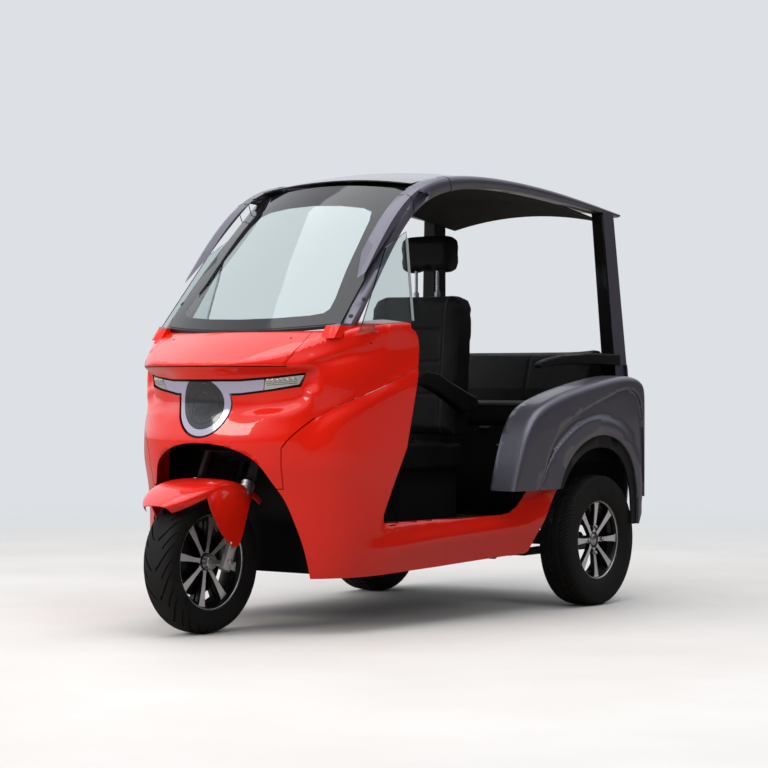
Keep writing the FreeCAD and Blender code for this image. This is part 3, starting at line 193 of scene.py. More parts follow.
def vinyl(name):
    """Seat vinyl: pebbled grain made of small cells, with creases between them."""
    mat, tree, shader, at = worn(name, 9.0, 5.0, "#070708", "#0E0E10", 0.42, 0.60,
                                 Specular_IOR_Level=0.18)
    cells = output(tree, "TexVoronoi", "Distance", {"Vector": at, "Scale": 520.0},
                   feature="DISTANCE_TO_EDGE")
    bump(tree, shader, spread(tree, cells, 0.0, 1.0, 0.0, 0.22), 0.0007, 0.35)
    return mat


def tyre_rubber(name):
    mat, tree, shader, at = worn(name, 14.0, 6.0, "#0F0F0F", "#1C1B1A", 0.62, 0.85,
                                 Specular_IOR_Level=0.25)
    bump(tree, shader, noise(tree, at, 420.0, 4.0), 0.0006, 0.5)
    return mat


def clear_glass(name, tint, low, high):
    """Clear laminated glass, a little greener at its lower edge where dust has settled."""
    mat, tree, shader = material(name, Transmission_Weight=1.0, IOR=1.45, Roughness=0.0,
                                 Specular_IOR_Level=0.12)
    at = coords(tree)
    edge = spread(tree, along(tree, at), linear(tint), linear("#F4F9F8"), low, high)
    streaks = spread(tree, noise(tree, at, 3.0, 5.0), 0.0, 0.3, 0.5, 0.8)
    drive(tree, shader, Base_Color=mixed(tree, streaks, edge, linear("#E6ECEE")))
    return mat


# %% [markdown]
# Some parts carry two colours with a sharp border, such as the roof rails, whose feet are red. A two-tone
# material is a copy of a paint whose colour, gloss and metal change where a chooser gives one.


# %%
def two_tone(name, base, other, chooser, rough, metallic=0.0):
    """A copy of a paint that turns into a second colour where the chooser's factor is one."""
    mat = base.copy()
    mat.name = name
    tree = mat.node_tree
    shader = tree.nodes["Principled BSDF"]
    factor = chooser(tree)
    colour = shader.inputs["Base Color"]
    drive(tree, shader, Base_Color=mixed(tree, factor, colour.links[0].from_socket, linear(other)))
    for key, value in (("Metallic", metallic), ("Roughness", rough)):
        socket = shader.inputs[key]
        old = socket.links[0].from_socket if socket.is_linked else socket.default_value
        tree.links.new(output(tree, "Mix", 0, {"Factor": factor, 2: old, 3: value}), socket)
    return mat


def by_height(level, blur, under, over):
    """A chooser that gives one factor under a level and another over it."""
    return lambda tree: spread(tree, along(tree, coords(tree)), under, over, level - blur,
                               level + blur)


def not_sideways(tree):
    """Chooses the faces that look forwards, inwards or backwards, not out to the side."""
    facing = along(tree, output(tree, "TexCoord", "Normal"), "X")
    outward = combined(tree, "MULTIPLY", facing, along(tree, coords(tree), "X"))
    return spread(tree, outward, 1.0, 0.0, 0.20, 0.24)


# The red's darker red towards the ground, up to 0.66 m, is painted shade where less light reaches the lower
# body. It is not dust.
red = paint("red_gloss_paint", "#E01A0B", "#E9220F", 0.30, coat=0.8, dust_and_shade_colour="#A01508",
            dust_and_shade_top=0.66, dust_and_shade_most=0.70)
silver_grey = paint("grey_metallic_paint", "#605E68", "#6E6C77", 0.38, 0.62, 0.35, coat=0.3)
roof_black = paint("roof_black_paint", "#131316", "#1B1B1F", 0.22)
plastic = grained("black_moulded_plastic", "#0D0D0E", "#151516", 0.55, 380.0, 0.0006,
                  Specular_IOR_Level=0.35)
frame_black = grained("black_frame_paint", "#0E0E0F", "#191817", 0.42, 120.0, 0.0008, Metallic=0.2)
lining = grained("cabin_lining", "#090909", "#101011", 0.85, 240.0, 0.0008, Specular_IOR_Level=0.2)
glass = clear_glass("screen_glass", "#DDE7E6", 1.05, 1.25)
frit = grained("printed_glass_border", "#0F1113", "#16191B", 0.09, 60.0, 0.00005)
seat_vinyl = vinyl("seat_vinyl")
rubber = tyre_rubber("tyre_rubber")
alloy = grained("machined_alloy", "#D6D6D8", "#ECECEE", 0.30, 240.0, 0.0003, Metallic=0.6)
dark_alloy = grained("wheel_black", "#070708", "#0E0E0F", 0.34, 200.0, 0.0004, Metallic=0.2)
fork_alloy = grained("fork_alloy", "#A6A6A8", "#C4C4C6", 0.28, 200.0, 0.0005, Metallic=0.9)
lamp_white = grained("lamp_light_guide", "#9A9AB2", "#B1B1C8", 0.16, 90.0, 0.0002, Coat_Weight=1.0)
lamp_glass = grained("lamp_smoked_glass", "#202226", "#2C2E33", 0.06, 40.0, 0.00005,
                     Specular_IOR_Level=0.7)
lamp_silver = grained("lamp_reflector", "#B4B8B6", "#D8DCDA", 0.16, 110.0, 0.0006, Metallic=0.75,
                      Coat_Weight=1.0)
lamp_red = grained("lamp_red_lens", "#7E0A08", "#A50F0B", 0.12, 90.0, 0.0003, Coat_Weight=1.0)
lamp_shadow = grained("lamp_reflector_shadow", "#3A3D42", "#4C5056", 0.18, 60.0, 0.0001,
                      Metallic=0.6)
clear_strip = grained("clear_edge_strip", "#9EA3A5", "#B6BBBC", 0.22, 50.0, 0.0001,
                      Coat_Weight=0.6)

rail_paint = two_tone("rail_paint", silver_grey, "#E41E0D", by_height(1.043, 1 * MM, 1.0, 0.0), 0.30)
pillar_paint = two_tone("pillar_paint", silver_grey, "#0B0B0D", not_sideways, 0.40)
fork_finish = two_tone("fork_finish", fork_alloy, "#131315", by_height(0.500, 2 * MM, 0.0, 1.0),
                       0.40, 0.2)

finish = {
    "red_gloss": red, "grey_metallic": silver_grey, "black_plastic": plastic,
    "roof_black": roof_black, "clear_glass": glass, "seal_rubber": frit, "seat_vinyl": seat_vinyl,
    "frame_paint": frame_black, "lamp_white": lamp_white, "lamp_glass": lamp_glass,
    "lamp_red": lamp_red, "lamp_silver": lamp_silver, "fork_alloy": fork_alloy,
    "wheel_alloy": alloy, "tyre_rubber": rubber}
special_finish = {
    "headliner": lining, "front_liner": lining, "bench_base": lining, "driver_seat_base": lining,
    "roof_rail": rail_paint, "rear_pillar": pillar_paint, "fork": fork_finish}
print(len(finish) + len(set(special_finish.values())), "surfaces")

# %% [markdown]
# ## Smooth-shaded copies of the frame's own shapes
# An edge stays sharp where its faces meet at more than a crease angle, and is shaded smooth otherwise. The
# tail panel has gentle steps that a wide angle would smear, so its angle is small.


# %%
slot_of = {part["node"]: part["material_slot"] for part in frame["record"]["subparts"]}
body_of = {node: body for body, nodes in frame["record"]["behaviour"]["bodies"].items()
           for node in nodes}


def new_object(name, mesh, mat, node=None):
    """An object that moves with a node, or with the body of the car."""
    piece = bpy.data.objects.new(name, mesh)
    bpy.context.collection.objects.link(piece)
    mesh.materials.clear()
    mesh.materials.append(mat)
    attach(piece, body_of.get(node, "root"))
    return piece


def smooth_by_angle(mesh, degrees):
    for polygon in mesh.polygons:
        polygon.use_smooth = True
    mesh.set_sharp_from_angle(angle=radians(degrees))


def opened(mesh, merge=0.02 * MM):
    """A mesh opened for editing, with points that all but touch made one."""
    work = bmesh.new()
    work.from_mesh(mesh)
    bmesh.ops.remove_doubles(work, verts=work.verts, dist=merge)
    return work


def saved(work, mesh):
    work.to_mesh(mesh)
    work.free()


modelled_here = {"front_tyre", "rear_tyre_left", "rear_tyre_right", "front_rim", "rear_rim_left",
                 "rear_rim_right", "bench_cushion", "bench_back", "driver_seat_cushion",
                 "driver_seat_back", "armrests"}
panel_crease, crease_of = 32, {"tail_panel": 12}
for node, slot in slot_of.items():
    if node in modelled_here:
        continue
    mesh = frame["nodes"][node].data.copy()
    saved(opened(mesh), mesh)
    smooth_by_angle(mesh, crease_of.get(node, panel_crease))
    twin = node.removesuffix("_left").removesuffix("_right")
    piece = new_object("body_" + node, mesh, special_finish.get(twin, finish[slot]), node)
    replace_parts(piece, node)
print(len(slot_of) - len(modelled_here), "nodes dressed")

# %% [markdown]
# ## Helpers for meshes
# Most of the small pieces of a car are either turned on a lathe, or a bar whose section changes along its
# length. Both are loops of points joined by faces, so one helper makes them all. It returns plain lists,
# and several lists can be gathered in one mesh, as a set of eight spokes is.


# %%
def mm(*pairs):
    """Pairs of millimetres as pairs of metres."""
    return [(a * MM, b * MM) for a, b in pairs]


def between(low, high, share):
    return low + (high - low) * share


def joined_loops(loops, ring=False):
    """Points and faces through loops with equal counts, closed in a ring or capped at both ends."""
    count, total = len(loops[0]), len(loops)
    points = [Vector(point) for loop in loops for point in loop]
    faces = []
    for row in range(total if ring else total - 1):
        here, there = row * count, (row + 1) % total * count
        faces += [(here + k, here + (k + 1) % count, there + (k + 1) % count, there + k)
                  for k in range(count)]
    if not ring:
        faces += [tuple(reversed(range(count))), tuple(range((total - 1) * count, total * count))]
    return points, faces


def turned(profile, centre, axis=(1, 0, 0), steps=96):
    """A closed profile of (radius, reach along the axis) pairs, turned about an axis."""
    axis = Vector(axis).normalized()
    first = axis.orthogonal().normalized()
    second = axis.cross(first)
    loops = []
    for step in range(steps):
        angle = 2 * pi * step / steps
        out = first * cos(angle) + second * sin(angle)
        loops.append([Vector(centre) + out * radius + axis * reach for radius, reach in profile])
    return joined_loops(loops, True)


def bar(points, section, up=(0, 0, 1)):
    """A bar along points. The section is a list of (side, up) pairs, or a function of the share."""
    points = [Vector(point) for point in points]
    loops = []
    for index, point in enumerate(points):
        ahead = (points[min(index + 1, len(points) - 1)] - points[max(index - 1, 0)]).normalized()
        side = ahead.cross(Vector(up)).normalized()
        rise = side.cross(ahead)
        shape = section(index / (len(points) - 1)) if callable(section) else section
        loops.append([point + side * a + rise * b for a, b in shape])
    return joined_loops(loops)


def closed_bar(places, across, section):
    """A bar through a closed line of places. The section's pairs run outwards and across."""
    loops = []
    for k, place in enumerate(places):
        ahead = (places[(k + 1) % len(places)] - places[k - 1]).normalized()
        outward = across.cross(ahead)
        loops.append([place + outward * a + across * b for a, b in section])
    return joined_loops(loops, True)


def circle(radius, steps=12):
    return [(radius * cos(2 * pi * k / steps), radius * sin(2 * pi * k / steps))
            for k in range(steps)]


def piece_of(name, parts, mat, degrees=40, node=None):
    """One mesh of several point and face lists, as a piece of the car. Missing parts are left out."""
    points, faces = [], []
    for more_points, more_faces in filter(None, parts):
        faces += [tuple(index + len(points) for index in face) for face in more_faces]
        points += more_points
    mesh = bpy.data.meshes.new(name)
    mesh.from_pydata([tuple(point) for point in points], [], faces)
    work = opened(mesh, 0.01 * MM)
    bmesh.ops.recalc_face_normals(work, faces=work.faces)
    saved(work, mesh)
    smooth_by_angle(mesh, degrees)
    piece = new_object(name, mesh, mat, node)
    print(name, len(mesh.polygons), "faces")
    return piece


def corners(node):
    """The lowest and the highest corner of a node's box."""
    return [Vector(corner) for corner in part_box(node)]


def middle(node):
    return sum(corners(node), Vector()) / 2


def span(node):
    low, high = corners(node)
    return high - low


def mirrored(side, x, y, z):
    """A point or direction on the left of the car with side 1, or its mirror image with side -1."""
    return Vector((side * x, y, z))


def spun(angle):
    """The direction at an angle round a wheel's axis, from straight up."""
    return Vector((0, sin(angle), cos(angle)))


def surface_tree(mesh):
    return BVHTree.FromPolygons([v.co.copy() for v in mesh.vertices],
                                [tuple(p.vertices) for p in mesh.polygons])


trees = {}


def touch(node, start, direction):
    """Where a line first meets a node, and the surface's direction there."""
    if node not in trees:
        trees[node] = surface_tree(frame["nodes"][node].data)
    place, normal, _, _ = trees[node].ray_cast(Vector(start), Vector(direction).normalized())
    if place is None:
        return None, None
    return place, -normal if normal.dot(Vector(direction)) > 0 else normal


def screw(place, normal, radius, rise=0.6):
    """A hexagonal bolt head with a washer, set square on a surface."""
    top = radius * rise
    washer = [(0.2 * MM, -2 * MM), (radius * 1.5, -2 * MM), (radius * 1.5, 0.8 * MM),
              (radius * 1.02, 1.2 * MM), (0.2 * MM, 1.2 * MM)]
    head = [(radius, 1.2 * MM), (radius, top), (radius * 0.86, top + 0.6 * MM),
            (0.2 * MM, top + 0.7 * MM), (0.2 * MM, 0)]
    return [turned(washer, place, normal, 20), turned(head, place, normal, 6)]


# %% [markdown]
# ## Tyres
# A tyre is a ring whose section bulges at the sidewalls and is nearly flat across the tread. The tread's
# grooves run slantwise. The mesh's own columns are slanted with them, so each groove has crisp walls and
# needs few faces, where a displaced even grid would need millions.

# %%
# Half of the section: reach as a share of the half width, height as a share of bead to crown, and
# which grooves cut this row: 0 none, 1 the long ones, 2 the long and the short ones, 3 always sunk.
round_section = [
    (0.60, -0.06, 0), (0.70, -0.02, 0), (0.745, 0.02, 0), (0.79, 0.06, 0), (0.80, 0.085, 0),
    (0.815, 0.095, 0), (0.86, 0.15, 0), (0.91, 0.24, 0), (0.955, 0.36, 0), (0.985, 0.48, 0),
    (1.0, 0.585, 0), (0.995, 0.66, 0), (0.98, 0.70, 0), (0.972, 0.715, 2), (0.94, 0.765, 2),
    (0.89, 0.822, 2), (0.82, 0.872, 2), (0.73, 0.915, 2), (0.62, 0.948, 2), (0.50, 0.971, 2),
    (0.48, 0.974, 1), (0.36, 0.987, 1), (0.24, 0.994, 1), (0.14, 0.998, 1), (0.13, 0.998, 0)]
flat_section = [
    (0.62, -0.06, 0), (0.70, -0.02, 0), (0.745, 0.02, 0), (0.79, 0.05, 0), (0.80, 0.075, 0),
    (0.82, 0.085, 0), (0.88, 0.15, 0), (0.94, 0.27, 0), (0.98, 0.40, 0), (1.0, 0.53, 0),
    (0.998, 0.64, 0), (0.985, 0.73, 0), (0.965, 0.80, 0), (0.94, 0.855, 0), (0.925, 0.88, 2),
    (0.89, 0.92, 2), (0.84, 0.95, 2), (0.76, 0.972, 2), (0.60, 0.986, 2), (0.47, 0.991, 2),
    (0.465, 0.991, 3), (0.40, 0.993, 3), (0.395, 0.993, 1), (0.24, 0.997, 1), (0.12, 0.999, 1),
    (0.115, 0.999, 3), (0.04, 1.0, 3), (0.035, 1.0, 0)]
# The inner face, which hides in the rim: its rows are not slanted.
inner_face = [(0.55, -0.10, -1), (0.0, 0.10, -1), (-0.55, -0.10, -1)]
# Columns in one pitch: share of the pitch, and which groove it lies in: 1 the long, 2 the short one.
narrow_columns = [(0.0, 0), (0.012, 1), (0.085, 1), (0.097, 0), (0.22, 0), (0.34, 0), (0.47, 0),
                  (0.482, 2), (0.545, 2), (0.557, 0), (0.70, 0), (0.85, 0)]
wide_columns = [(0.0, 0), (0.012, 1), (0.06, 1), (0.115, 1), (0.127, 0), (0.22, 0), (0.34, 0),
                (0.46, 0), (0.472, 2), (0.52, 2), (0.56, 2), (0.572, 0), (0.70, 0), (0.80, 0),
                (0.90, 0)]


def tyre(name, node, rim_node, section, columns, pitches, slant, depth):
    """A tyre with grooves. slant is the angle that a groove gains from the middle to the side."""
    centre, size, bead = middle(node), span(node), span(rim_node).z / 2
    crown, half = size.z / 2, size.x / 2
    rows = [(-x, h, cut) for x, h, cut in section] + section[::-1] + inner_face
    loops = []
    for pitch in range(pitches):
        for share, groove in columns:
            loop = []
            for x, h, cut in rows:
                turn = (pitch + share) / pitches * 2 * pi
                if cut >= 0:
                    turn += radians(slant) * abs(x) ** 1.6
                sunk = depth if cut == 3 or 0 < groove <= cut else 0
                radius = between(bead, crown, h) - sunk
                loop.append(centre + Vector((x * half, 0, 0)) + spun(turn) * radius)
            loops.append(loop)
    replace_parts(piece_of(name, [joined_loops(loops, True)], rubber, 26, node), node)


tyre("front_tyre_tread", "front_tyre", "front_rim", round_section, wide_columns, 15, 24, 5 * MM)
for side in ("left", "right"):
    tyre("rear_tyre_tread_" + side, "rear_tyre_" + side, "rear_rim_left", flat_section,
         narrow_columns, 48, 9, 3.5 * MM)

# %% [markdown]
# ## Rims
# The rims are cast alloy, painted black, and then the face is cut bright on a lathe. So the spokes have
# bright faces and black flanks. The black casting and the bright faces are two pieces here, because the
# cut face is a thin flat layer with a sharp border.


# %%
def barrel_profile(radius, half):
    """The rim's own section: flanges, bead seats and the well between them."""
    outer = [(0.0, 1.0), (-0.2, 0.86), (-5.5, 0.82), (-8.0, 0.50), (-22.0, 0.36)]
    inner = [(-26.0, 0.36), (-12.5, 0.52), (-9.5, 0.84), (-6.5, 0.93), (-3.0, 1.0)]
    outer, inner = [[(radius + r * MM, x * half) for r, x in line] for line in (outer, inner)]
    return (outer + [(r, -x) for r, x in outer[::-1]] + [(r, -x) for r, x in inner[::-1]] + inner)


def spoke(centre, out, axis, radii, widths, reaches, thick):
    """One spoke from the hub outwards, with flanks that lean a little."""
    side = axis.cross(out)
    loops = []
    for radius, width, reach in zip(radii, widths, reaches):
        half, back = width / 2, reach - thick
        shape = [(-half, reach), (half, reach), (half + 1.5 * MM, reach - 3 * MM),
                 (half + 0.5 * MM, back), (-half - 0.5 * MM, back), (-half - 1.5 * MM, reach - 3 * MM)]
        loops.append([centre + out * radius + side * a + axis * b for a, b in shape])
    return joined_loops(loops)


def rim(name, node, sides, foot_width, tip_width, dish, turn, level=0.84):
    """The black casting and the bright faces of one rim. level is how far out the spokes stand."""
    centre, size, hub_radius, spokes = middle(node), span(node), 30 * MM, 8
    radius, half = size.z / 2, size.x / 2
    disc = half * level - dish
    radii = [hub_radius * 0.7, hub_radius, hub_radius + 9 * MM, radius * 0.45, radius * 0.62,
             radius * 0.80, radius - 19 * MM, radius - 12 * MM, radius - 9.5 * MM]
    widths = [foot_width * 1.7, foot_width * 1.45, foot_width]
    widths += [between(foot_width, tip_width, share) for share in (0.14, 0.42, 0.75, 1.0)]
    widths += [tip_width * 1.22, tip_width * 1.42]
    reaches = [half * level - dish * (1 - (r - radii[0]) / (radii[-1] - radii[0])) ** 1.4
               for r in radii]
    thick = 17 * MM if len(sides) == 1 else disc
    lip = [(radius - 0.4 * MM, half - 0.6 * MM), (radius - 2.4 * MM, half + 0.1 * MM),
           (radius - 6.2 * MM, half * 0.93 + 0.6 * MM), (radius - 8.4 * MM, half * 0.86),
           (radius - 7.0 * MM, half * 0.84), (radius - 1.5 * MM, half * 0.94)]
    plate = [(1 * MM, disc - 20 * MM), (hub_radius * 1.02, disc - 18 * MM),
             (hub_radius * 1.04, disc - 4 * MM), (hub_radius, disc - 1 * MM), (1 * MM, disc - 1 * MM)]
    casting, bright = [turned(barrel_profile(radius, half), centre, steps=128)], []
    for face in sides:
        axis = Vector((face, 0, 0))
        for count in range(spokes):
            out = spun(radians(turn) + count * 2 * pi / spokes)
            casting.append(spoke(centre, out, axis, radii, widths, reaches, thick))
            bright.append(spoke(centre, out, axis, radii[1:], [w - 1.2 * MM for w in widths[1:]],
                                [r + 0.35 * MM for r in reaches[1:]], 1 * MM))
        bright.append(turned(lip, centre, axis, 160))
        casting.append(turned(plate, centre, axis, 72))
    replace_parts(piece_of(name, casting, dark_alloy, 30, node), node)
    piece_of(name + "_faces", bright, alloy, 30, node)
    return centre, disc


# A bare domed cap with a step round its edge, and four nuts in their cups
nut_circle = 50 * MM
cap = mm((0.2, -6), (23.1, -6), (23.1, 0), (21, 2), (18.9, 3.4), (18.06, 2.8), (16.8, 4.2),
         (9.45, 6.2), (0.2, 6.8))
cup = mm((0.2, -6), (11, -6), (11.5, 0.4), (9.6, 1.2), (9.2, -1.5), (0.2, -1.5))
nut = mm((0.2, -2), (7.2, -2), (7.4, 8), (6.2, 9.4), (0.2, 9.6))
for side, outward in (("left", 1), ("right", -1)):
    node = "rear_rim_" + side
    axis = Vector((outward, 0, 0))
    centre, reach = rim("rear_rim_cast_" + side, node, (outward,), 15 * MM, 27 * MM, 13 * MM, 0)
    fittings = [turned(cap, centre + axis * reach, axis, 64)]
    for count in range(4):
        place = centre + spun(count * pi / 2) * nut_circle + axis * (reach + 4.6 * MM)
        fittings += [turned(cup, place, axis, 24), turned(nut, place, axis, 6)]
    piece_of("rear_wheel_nuts_" + side, fittings, fork_alloy, 30, node)

# The front wheel's hub and its brake drum
centre, _ = rim("front_rim_cast", "front_rim", (1, -1), 15 * MM, 31 * MM, 5 * MM, 10, 0.52)
hub = mm((8.2, -50), (22, -50), (26, -46), (27, -26), (22, -18), (22, 18), (27, 26), (26, 46),
         (22, 50), (8.2, 50))
drum = mm((29, -12), (90, -12), (112, -16), (116, -20), (116, -34), (110, -38), (86, -38),
          (60, -40), (29, -40))
piece_of("front_hub", [turned(hub, centre, steps=64)], fork_alloy, 30, "front_rim")
piece_of("front_brake_drum", [turned(drum, centre)], dark_alloy, 30, "front_rim")

# The rubber stem of a tyre valve with its cap, leaning out of the rim's well
valve_angle, valve_depth = 0.9, 24 * MM
stem = mm((0.2, -3), (5.5, -3), (4.5, 3), (3.4, 14), (3.0, 15), (3.9, 15.5), (3.9, 24), (3.2, 26),
          (0.2, 26))
for node, outward in (("front_rim", 1), ("rear_rim_left", 1), ("rear_rim_right", -1)):
    out = spun(valve_angle)
    start = middle(node) + out * (span(node).z / 2 - valve_depth)
    lean = Vector((outward, 0, 0)) - out
    piece_of("valve_" + node, [turned(stem, start, lean, 16)], rubber, 40, node)

# %% [markdown]
# ## Seats
# A seat cushion is foam inside a sewn cover. The foam presses on the cover, so the faces bulge and the
# edges stay where the seams hold them. A modeller can sculpt that, but it is quicker and more even to let a
# cloth simulation do it: the plain block is remeshed into small squares, air pressure blows it up for
# twenty frames, and the result is kept as a mesh. Each point may only move a little, so the cushion keeps
# its place between its neighbours.


# %%
def node_islands(node):
    """A node's separate solids, each as a mesh, from left to right."""
    work = opened(frame["nodes"][node].data)
    seen, meshes = set(), []
    for seed in work.verts:
        if seed in seen:
            continue
        number_of = {seed: 0}
        island = [seed]
        for vert in island:
            for other in [edge.other_vert(vert) for edge in vert.link_edges]:
                if other not in number_of:
                    number_of[other] = len(island)
                    island.append(other)
        seen.update(island)
        faces = [tuple(number_of[vert] for vert in face.verts) for face in work.faces
                 if face.verts[0] in number_of]
        meshes.append(bpy.data.meshes.new(node))
        meshes[-1].from_pydata([tuple(vert.co) for vert in island], [], faces)
    work.free()
    return sorted(meshes, key=lambda mesh: sum(v.co.x for v in mesh.vertices) / len(mesh.vertices))


def sliced(work, place, normal, kind, clear=False):
    """Cuts a mesh with a plane, and returns the cut's edges or points."""
    cut = bmesh.ops.bisect_plane(work, geom=work.verts[:] + work.edges[:] + work.faces[:],
                                 plane_co=place, plane_no=normal, clear_outer=clear)
    return [item for item in cut["geom_cut"] if isinstance(item, kind)]


def cut_between(mesh, low, high):
    """A copy of what lies between two heights, with the cuts closed."""
    mesh = mesh.copy()
    work = opened(mesh)
    for level, way in ((low, -1), (high, 1)):
        edges = sliced(work, (0, 0, level), (0, 0, way), bmesh.types.BMEdge, True)
        if edges:
            bmesh.ops.contextual_create(work, geom=edges)
    saved(work, mesh)
    return mesh


def drawn_in(mesh, inset):
    """Makes the form smaller by the inset at each side, and returns its box before that."""
    low = Vector([min(v.co[k] for v in mesh.vertices) for k in range(3)])
    high = Vector([max(v.co[k] for v in mesh.vertices) for k in range(3)])
    centre = (low + high) / 2
    for vert in mesh.vertices:
        vert.co = centre + Vector([(vert.co[k] - centre[k]) * (1 - 2 * inset / (high[k] - low[k]))
                                   for k in range(3)])
    return low, high


def apply_modifiers(piece):
    depsgraph = bpy.context.evaluated_depsgraph_get()
    mesh = bpy.data.meshes.new_from_object(piece.evaluated_get(depsgraph))
    piece.modifiers.clear()
    piece.data = mesh


def blow_up(piece, pressure, cap):
    """Lets air pressure push the cover out, and moves no point further than the cap."""
    frames = 20
    cloth = piece.modifiers.new("air", "CLOTH")
    cloth.settings.use_pressure = True
    cloth.settings.uniform_pressure_force = pressure
    cloth.settings.effector_weights.gravity = 0
    cloth.point_cache.frame_end = frames
    for number in range(1, frames + 1):
        bpy.context.scene.frame_set(number)
    depsgraph = bpy.context.evaluated_depsgraph_get()
    blown = [v.co.copy() for v in piece.evaluated_get(depsgraph).data.vertices]
    piece.modifiers.clear()
    bpy.context.scene.frame_set(1)
    for vert, place in zip(piece.data.vertices, blown):
        move = place - vert.co
        vert.co += move * min(1.0, cap / max(move.length, 1e-9))


def stuffed(name, mesh, node, voxel, cap, inset, shape=None, stands=True, pressure=4.0):
    """A padded piece: drawn in, remeshed, blown up and smoothed. shape moves its points after that."""
    low, high = drawn_in(mesh, inset)
    piece = new_object(name, mesh, seat_vinyl, node)
    remesh = piece.modifiers.new("even squares", "REMESH")
    remesh.mode, remesh.voxel_size = "VOXEL", voxel
    apply_modifiers(piece)
    blow_up(piece, pressure, cap)
    work, smoothing_rounds = opened(piece.data), 3
    for _ in range(smoothing_rounds):
        bmesh.ops.smooth_vert(work, verts=work.verts, factor=0.5, use_axis_x=True,
                              use_axis_y=True, use_axis_z=True)
    saved(work, piece.data)
    subdivision = piece.modifiers.new("finer", "SUBSURF")
    subdivision.levels = subdivision.render_levels = 1
    apply_modifiers(piece)
    for vert in piece.data.vertices:
        place = shape(vert.co, low, high) if shape else vert.co
        vert.co = Vector([min(max(place[k], low[k]), high[k]) for k in range(3)])
    smooth_by_angle(piece.data, 80)
    piece.data.materials.clear()
    piece.data.materials.append(seat_vinyl)
    if stands:
        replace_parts(piece, node)
    print(name, len(piece.data.polygons), "faces")
    return piece


# %% [markdown]
# A pad's shape is a function of a point and the pad's box. Seams pull the cover in along a line, and the
# middle panel of the driver's seat lies lower than the bolsters beside it.


# %%
def ease(share):
    share = min(1.0, max(0.0, share))
    return share * share * (3 - 2 * share)


def groove(distance, width, depth):
    """How far a sewn seam pulls the cover in, at a distance from its thread."""
    return depth * math.exp(-(distance / width) ** 2)


def seams(point, low, high, axis, shares, width, depth):
    """The grooves of seams that lie across an axis, at shares of the pad's length."""
    return sum(groove(point[axis] - between(low[axis], high[axis], share), width, depth)
               for share in shares)


def pressed_flat(new, point, low, layer):
    """Presses the lowest layer of a cushion nearly flat on its base."""
    if point.z < low.z + layer:
        new.z = between(low.z, point.z, 0.15)
    return new


def middle_panel(point, low, high, axis, shares, sunk):
    """How far the middle panel with its side seams and cross seams lies below the bolsters."""
    away = abs(point.x) / (high.x - low.x) * 2
    cross = seams(point, low, high, axis, shares, 6 * MM, 3 * MM) * (1 - ease((away - 0.56) / 0.06))
    return sunk * (1 - ease((away - 0.52) / 0.16)) + groove(away - 0.62, 0.03, 4 * MM) + cross


def bench_cushion_shape(point, low, high):
    """One seam in the middle, and a flat bottom."""
    new = point.copy()
    above = ease((point.z - (low.z + high.z) / 2) / ((high.z - low.z) / 2))
    new.z -= seams(point, low, high, 0, (0.5,), 7 * MM, 4 * MM) * above
    return pressed_flat(new, point, low, 14 * MM)


def bench_back_shape(point, low, high):
    """Two shallow grooves on the front face, a third of the width from each end."""
    new = point.copy()
    new.y += seams(point, low, high, 0, (1 / 3, 2 / 3), 7 * MM, 4 * MM) * (
        1 - ease((point.y - low.y) / 0.09))
    return new


def driver_cushion_shape(point, low, high):
    new = point.copy()
    above = ease((point.z - low.z - 55 * MM) / (30 * MM))
    new.z -= middle_panel(point, low, high, 1, (0.36, 0.64), 7 * MM) * above
    return pressed_flat(new, point, low, 12 * MM)


def driver_back_shape(point, low, high):
    new = point.copy()
    lean = (point.z - low.z) / (high.z - low.z)
    front_line = low.y + 23 * MM + lean * 62 * MM
    front = 1 - ease((point.y - front_line) / (26 * MM))
    new.y += middle_panel(point, low, high, 2, (0.30, 0.52, 0.74), 8 * MM) * front
    return new


def rounded_ring(low, high, level, corner, axis=2, steps=12):
    """A rounded rectangle at one level across an axis, as points about 15 mm apart."""
    one, two = [k for k in range(3) if k != axis]
    right, left = high[one] - corner, low[one] + corner
    top, bottom = high[two] - corner, low[two] + corner
    outline = []
    for a, b, start in ((right, top, 0), (left, top, 90), (left, bottom, 180), (right, bottom, 270)):
        for step in range(steps + 1):
            angle = radians(start + 90 * step / steps)
            outline.append((a + corner * cos(angle), b + corner * sin(angle)))
    points = []
    for here, there in zip(outline, outline[1:] + outline[:1]):
        parts = max(1, int(math.dist(here, there) / (15 * MM)))
        for part in range(parts):
            spot = Vector((level, level, level))
            spot[one], spot[two] = [between(a, b, part / parts) for a, b in zip(here, there)]
            points.append(spot)
    return points


# %% [markdown]
# The bench, the driver's seat and the three armrests. Only the bench cushion has a piped edge: a cord that
# is laid on the blown-up pad and smoothed along its way.

# %%
# Name, node, remeshed square, furthest move and inset in millimetres, and shape
pads = (("bench_cushion_pad", "bench_cushion", 8, 12, 8, bench_cushion_shape),
        ("bench_back_pad", "bench_back", 8, 12, 7, bench_back_shape),
        ("driver_cushion_pad", "driver_seat_cushion", 7, 12, 7, driver_cushion_shape))
made = {}
for name, node, square, cap, inset, shape in pads:
    (mesh,) = node_islands(node)
    made[node] = stuffed(name, mesh, node, square * MM, cap * MM, inset * MM, shape)

low, high = corners("bench_cushion")
cushion_surface = surface_tree(made["bench_cushion"].data)
cord_radius, cord_lift, cord_depth, corner_radius = 3 * MM, 0.75 * MM, 12 * MM, 26 * MM
cord = []
for point in rounded_ring(low, high, high.z - cord_depth, corner_radius):
    place, normal, _, _ = cushion_surface.find_nearest(point)
    cord.append(place + normal * cord_lift)
for _ in range(2):
    cord = [cord[k] * 0.5 + (cord[k - 1] + cord[(k + 1) % len(cord)]) * 0.25
            for k in range(len(cord))]
piece_of("bench_cushion_piping", [closed_bar(cord, Vector((0, 0, 1)), circle(cord_radius, 8))],
         seat_vinyl, 80)

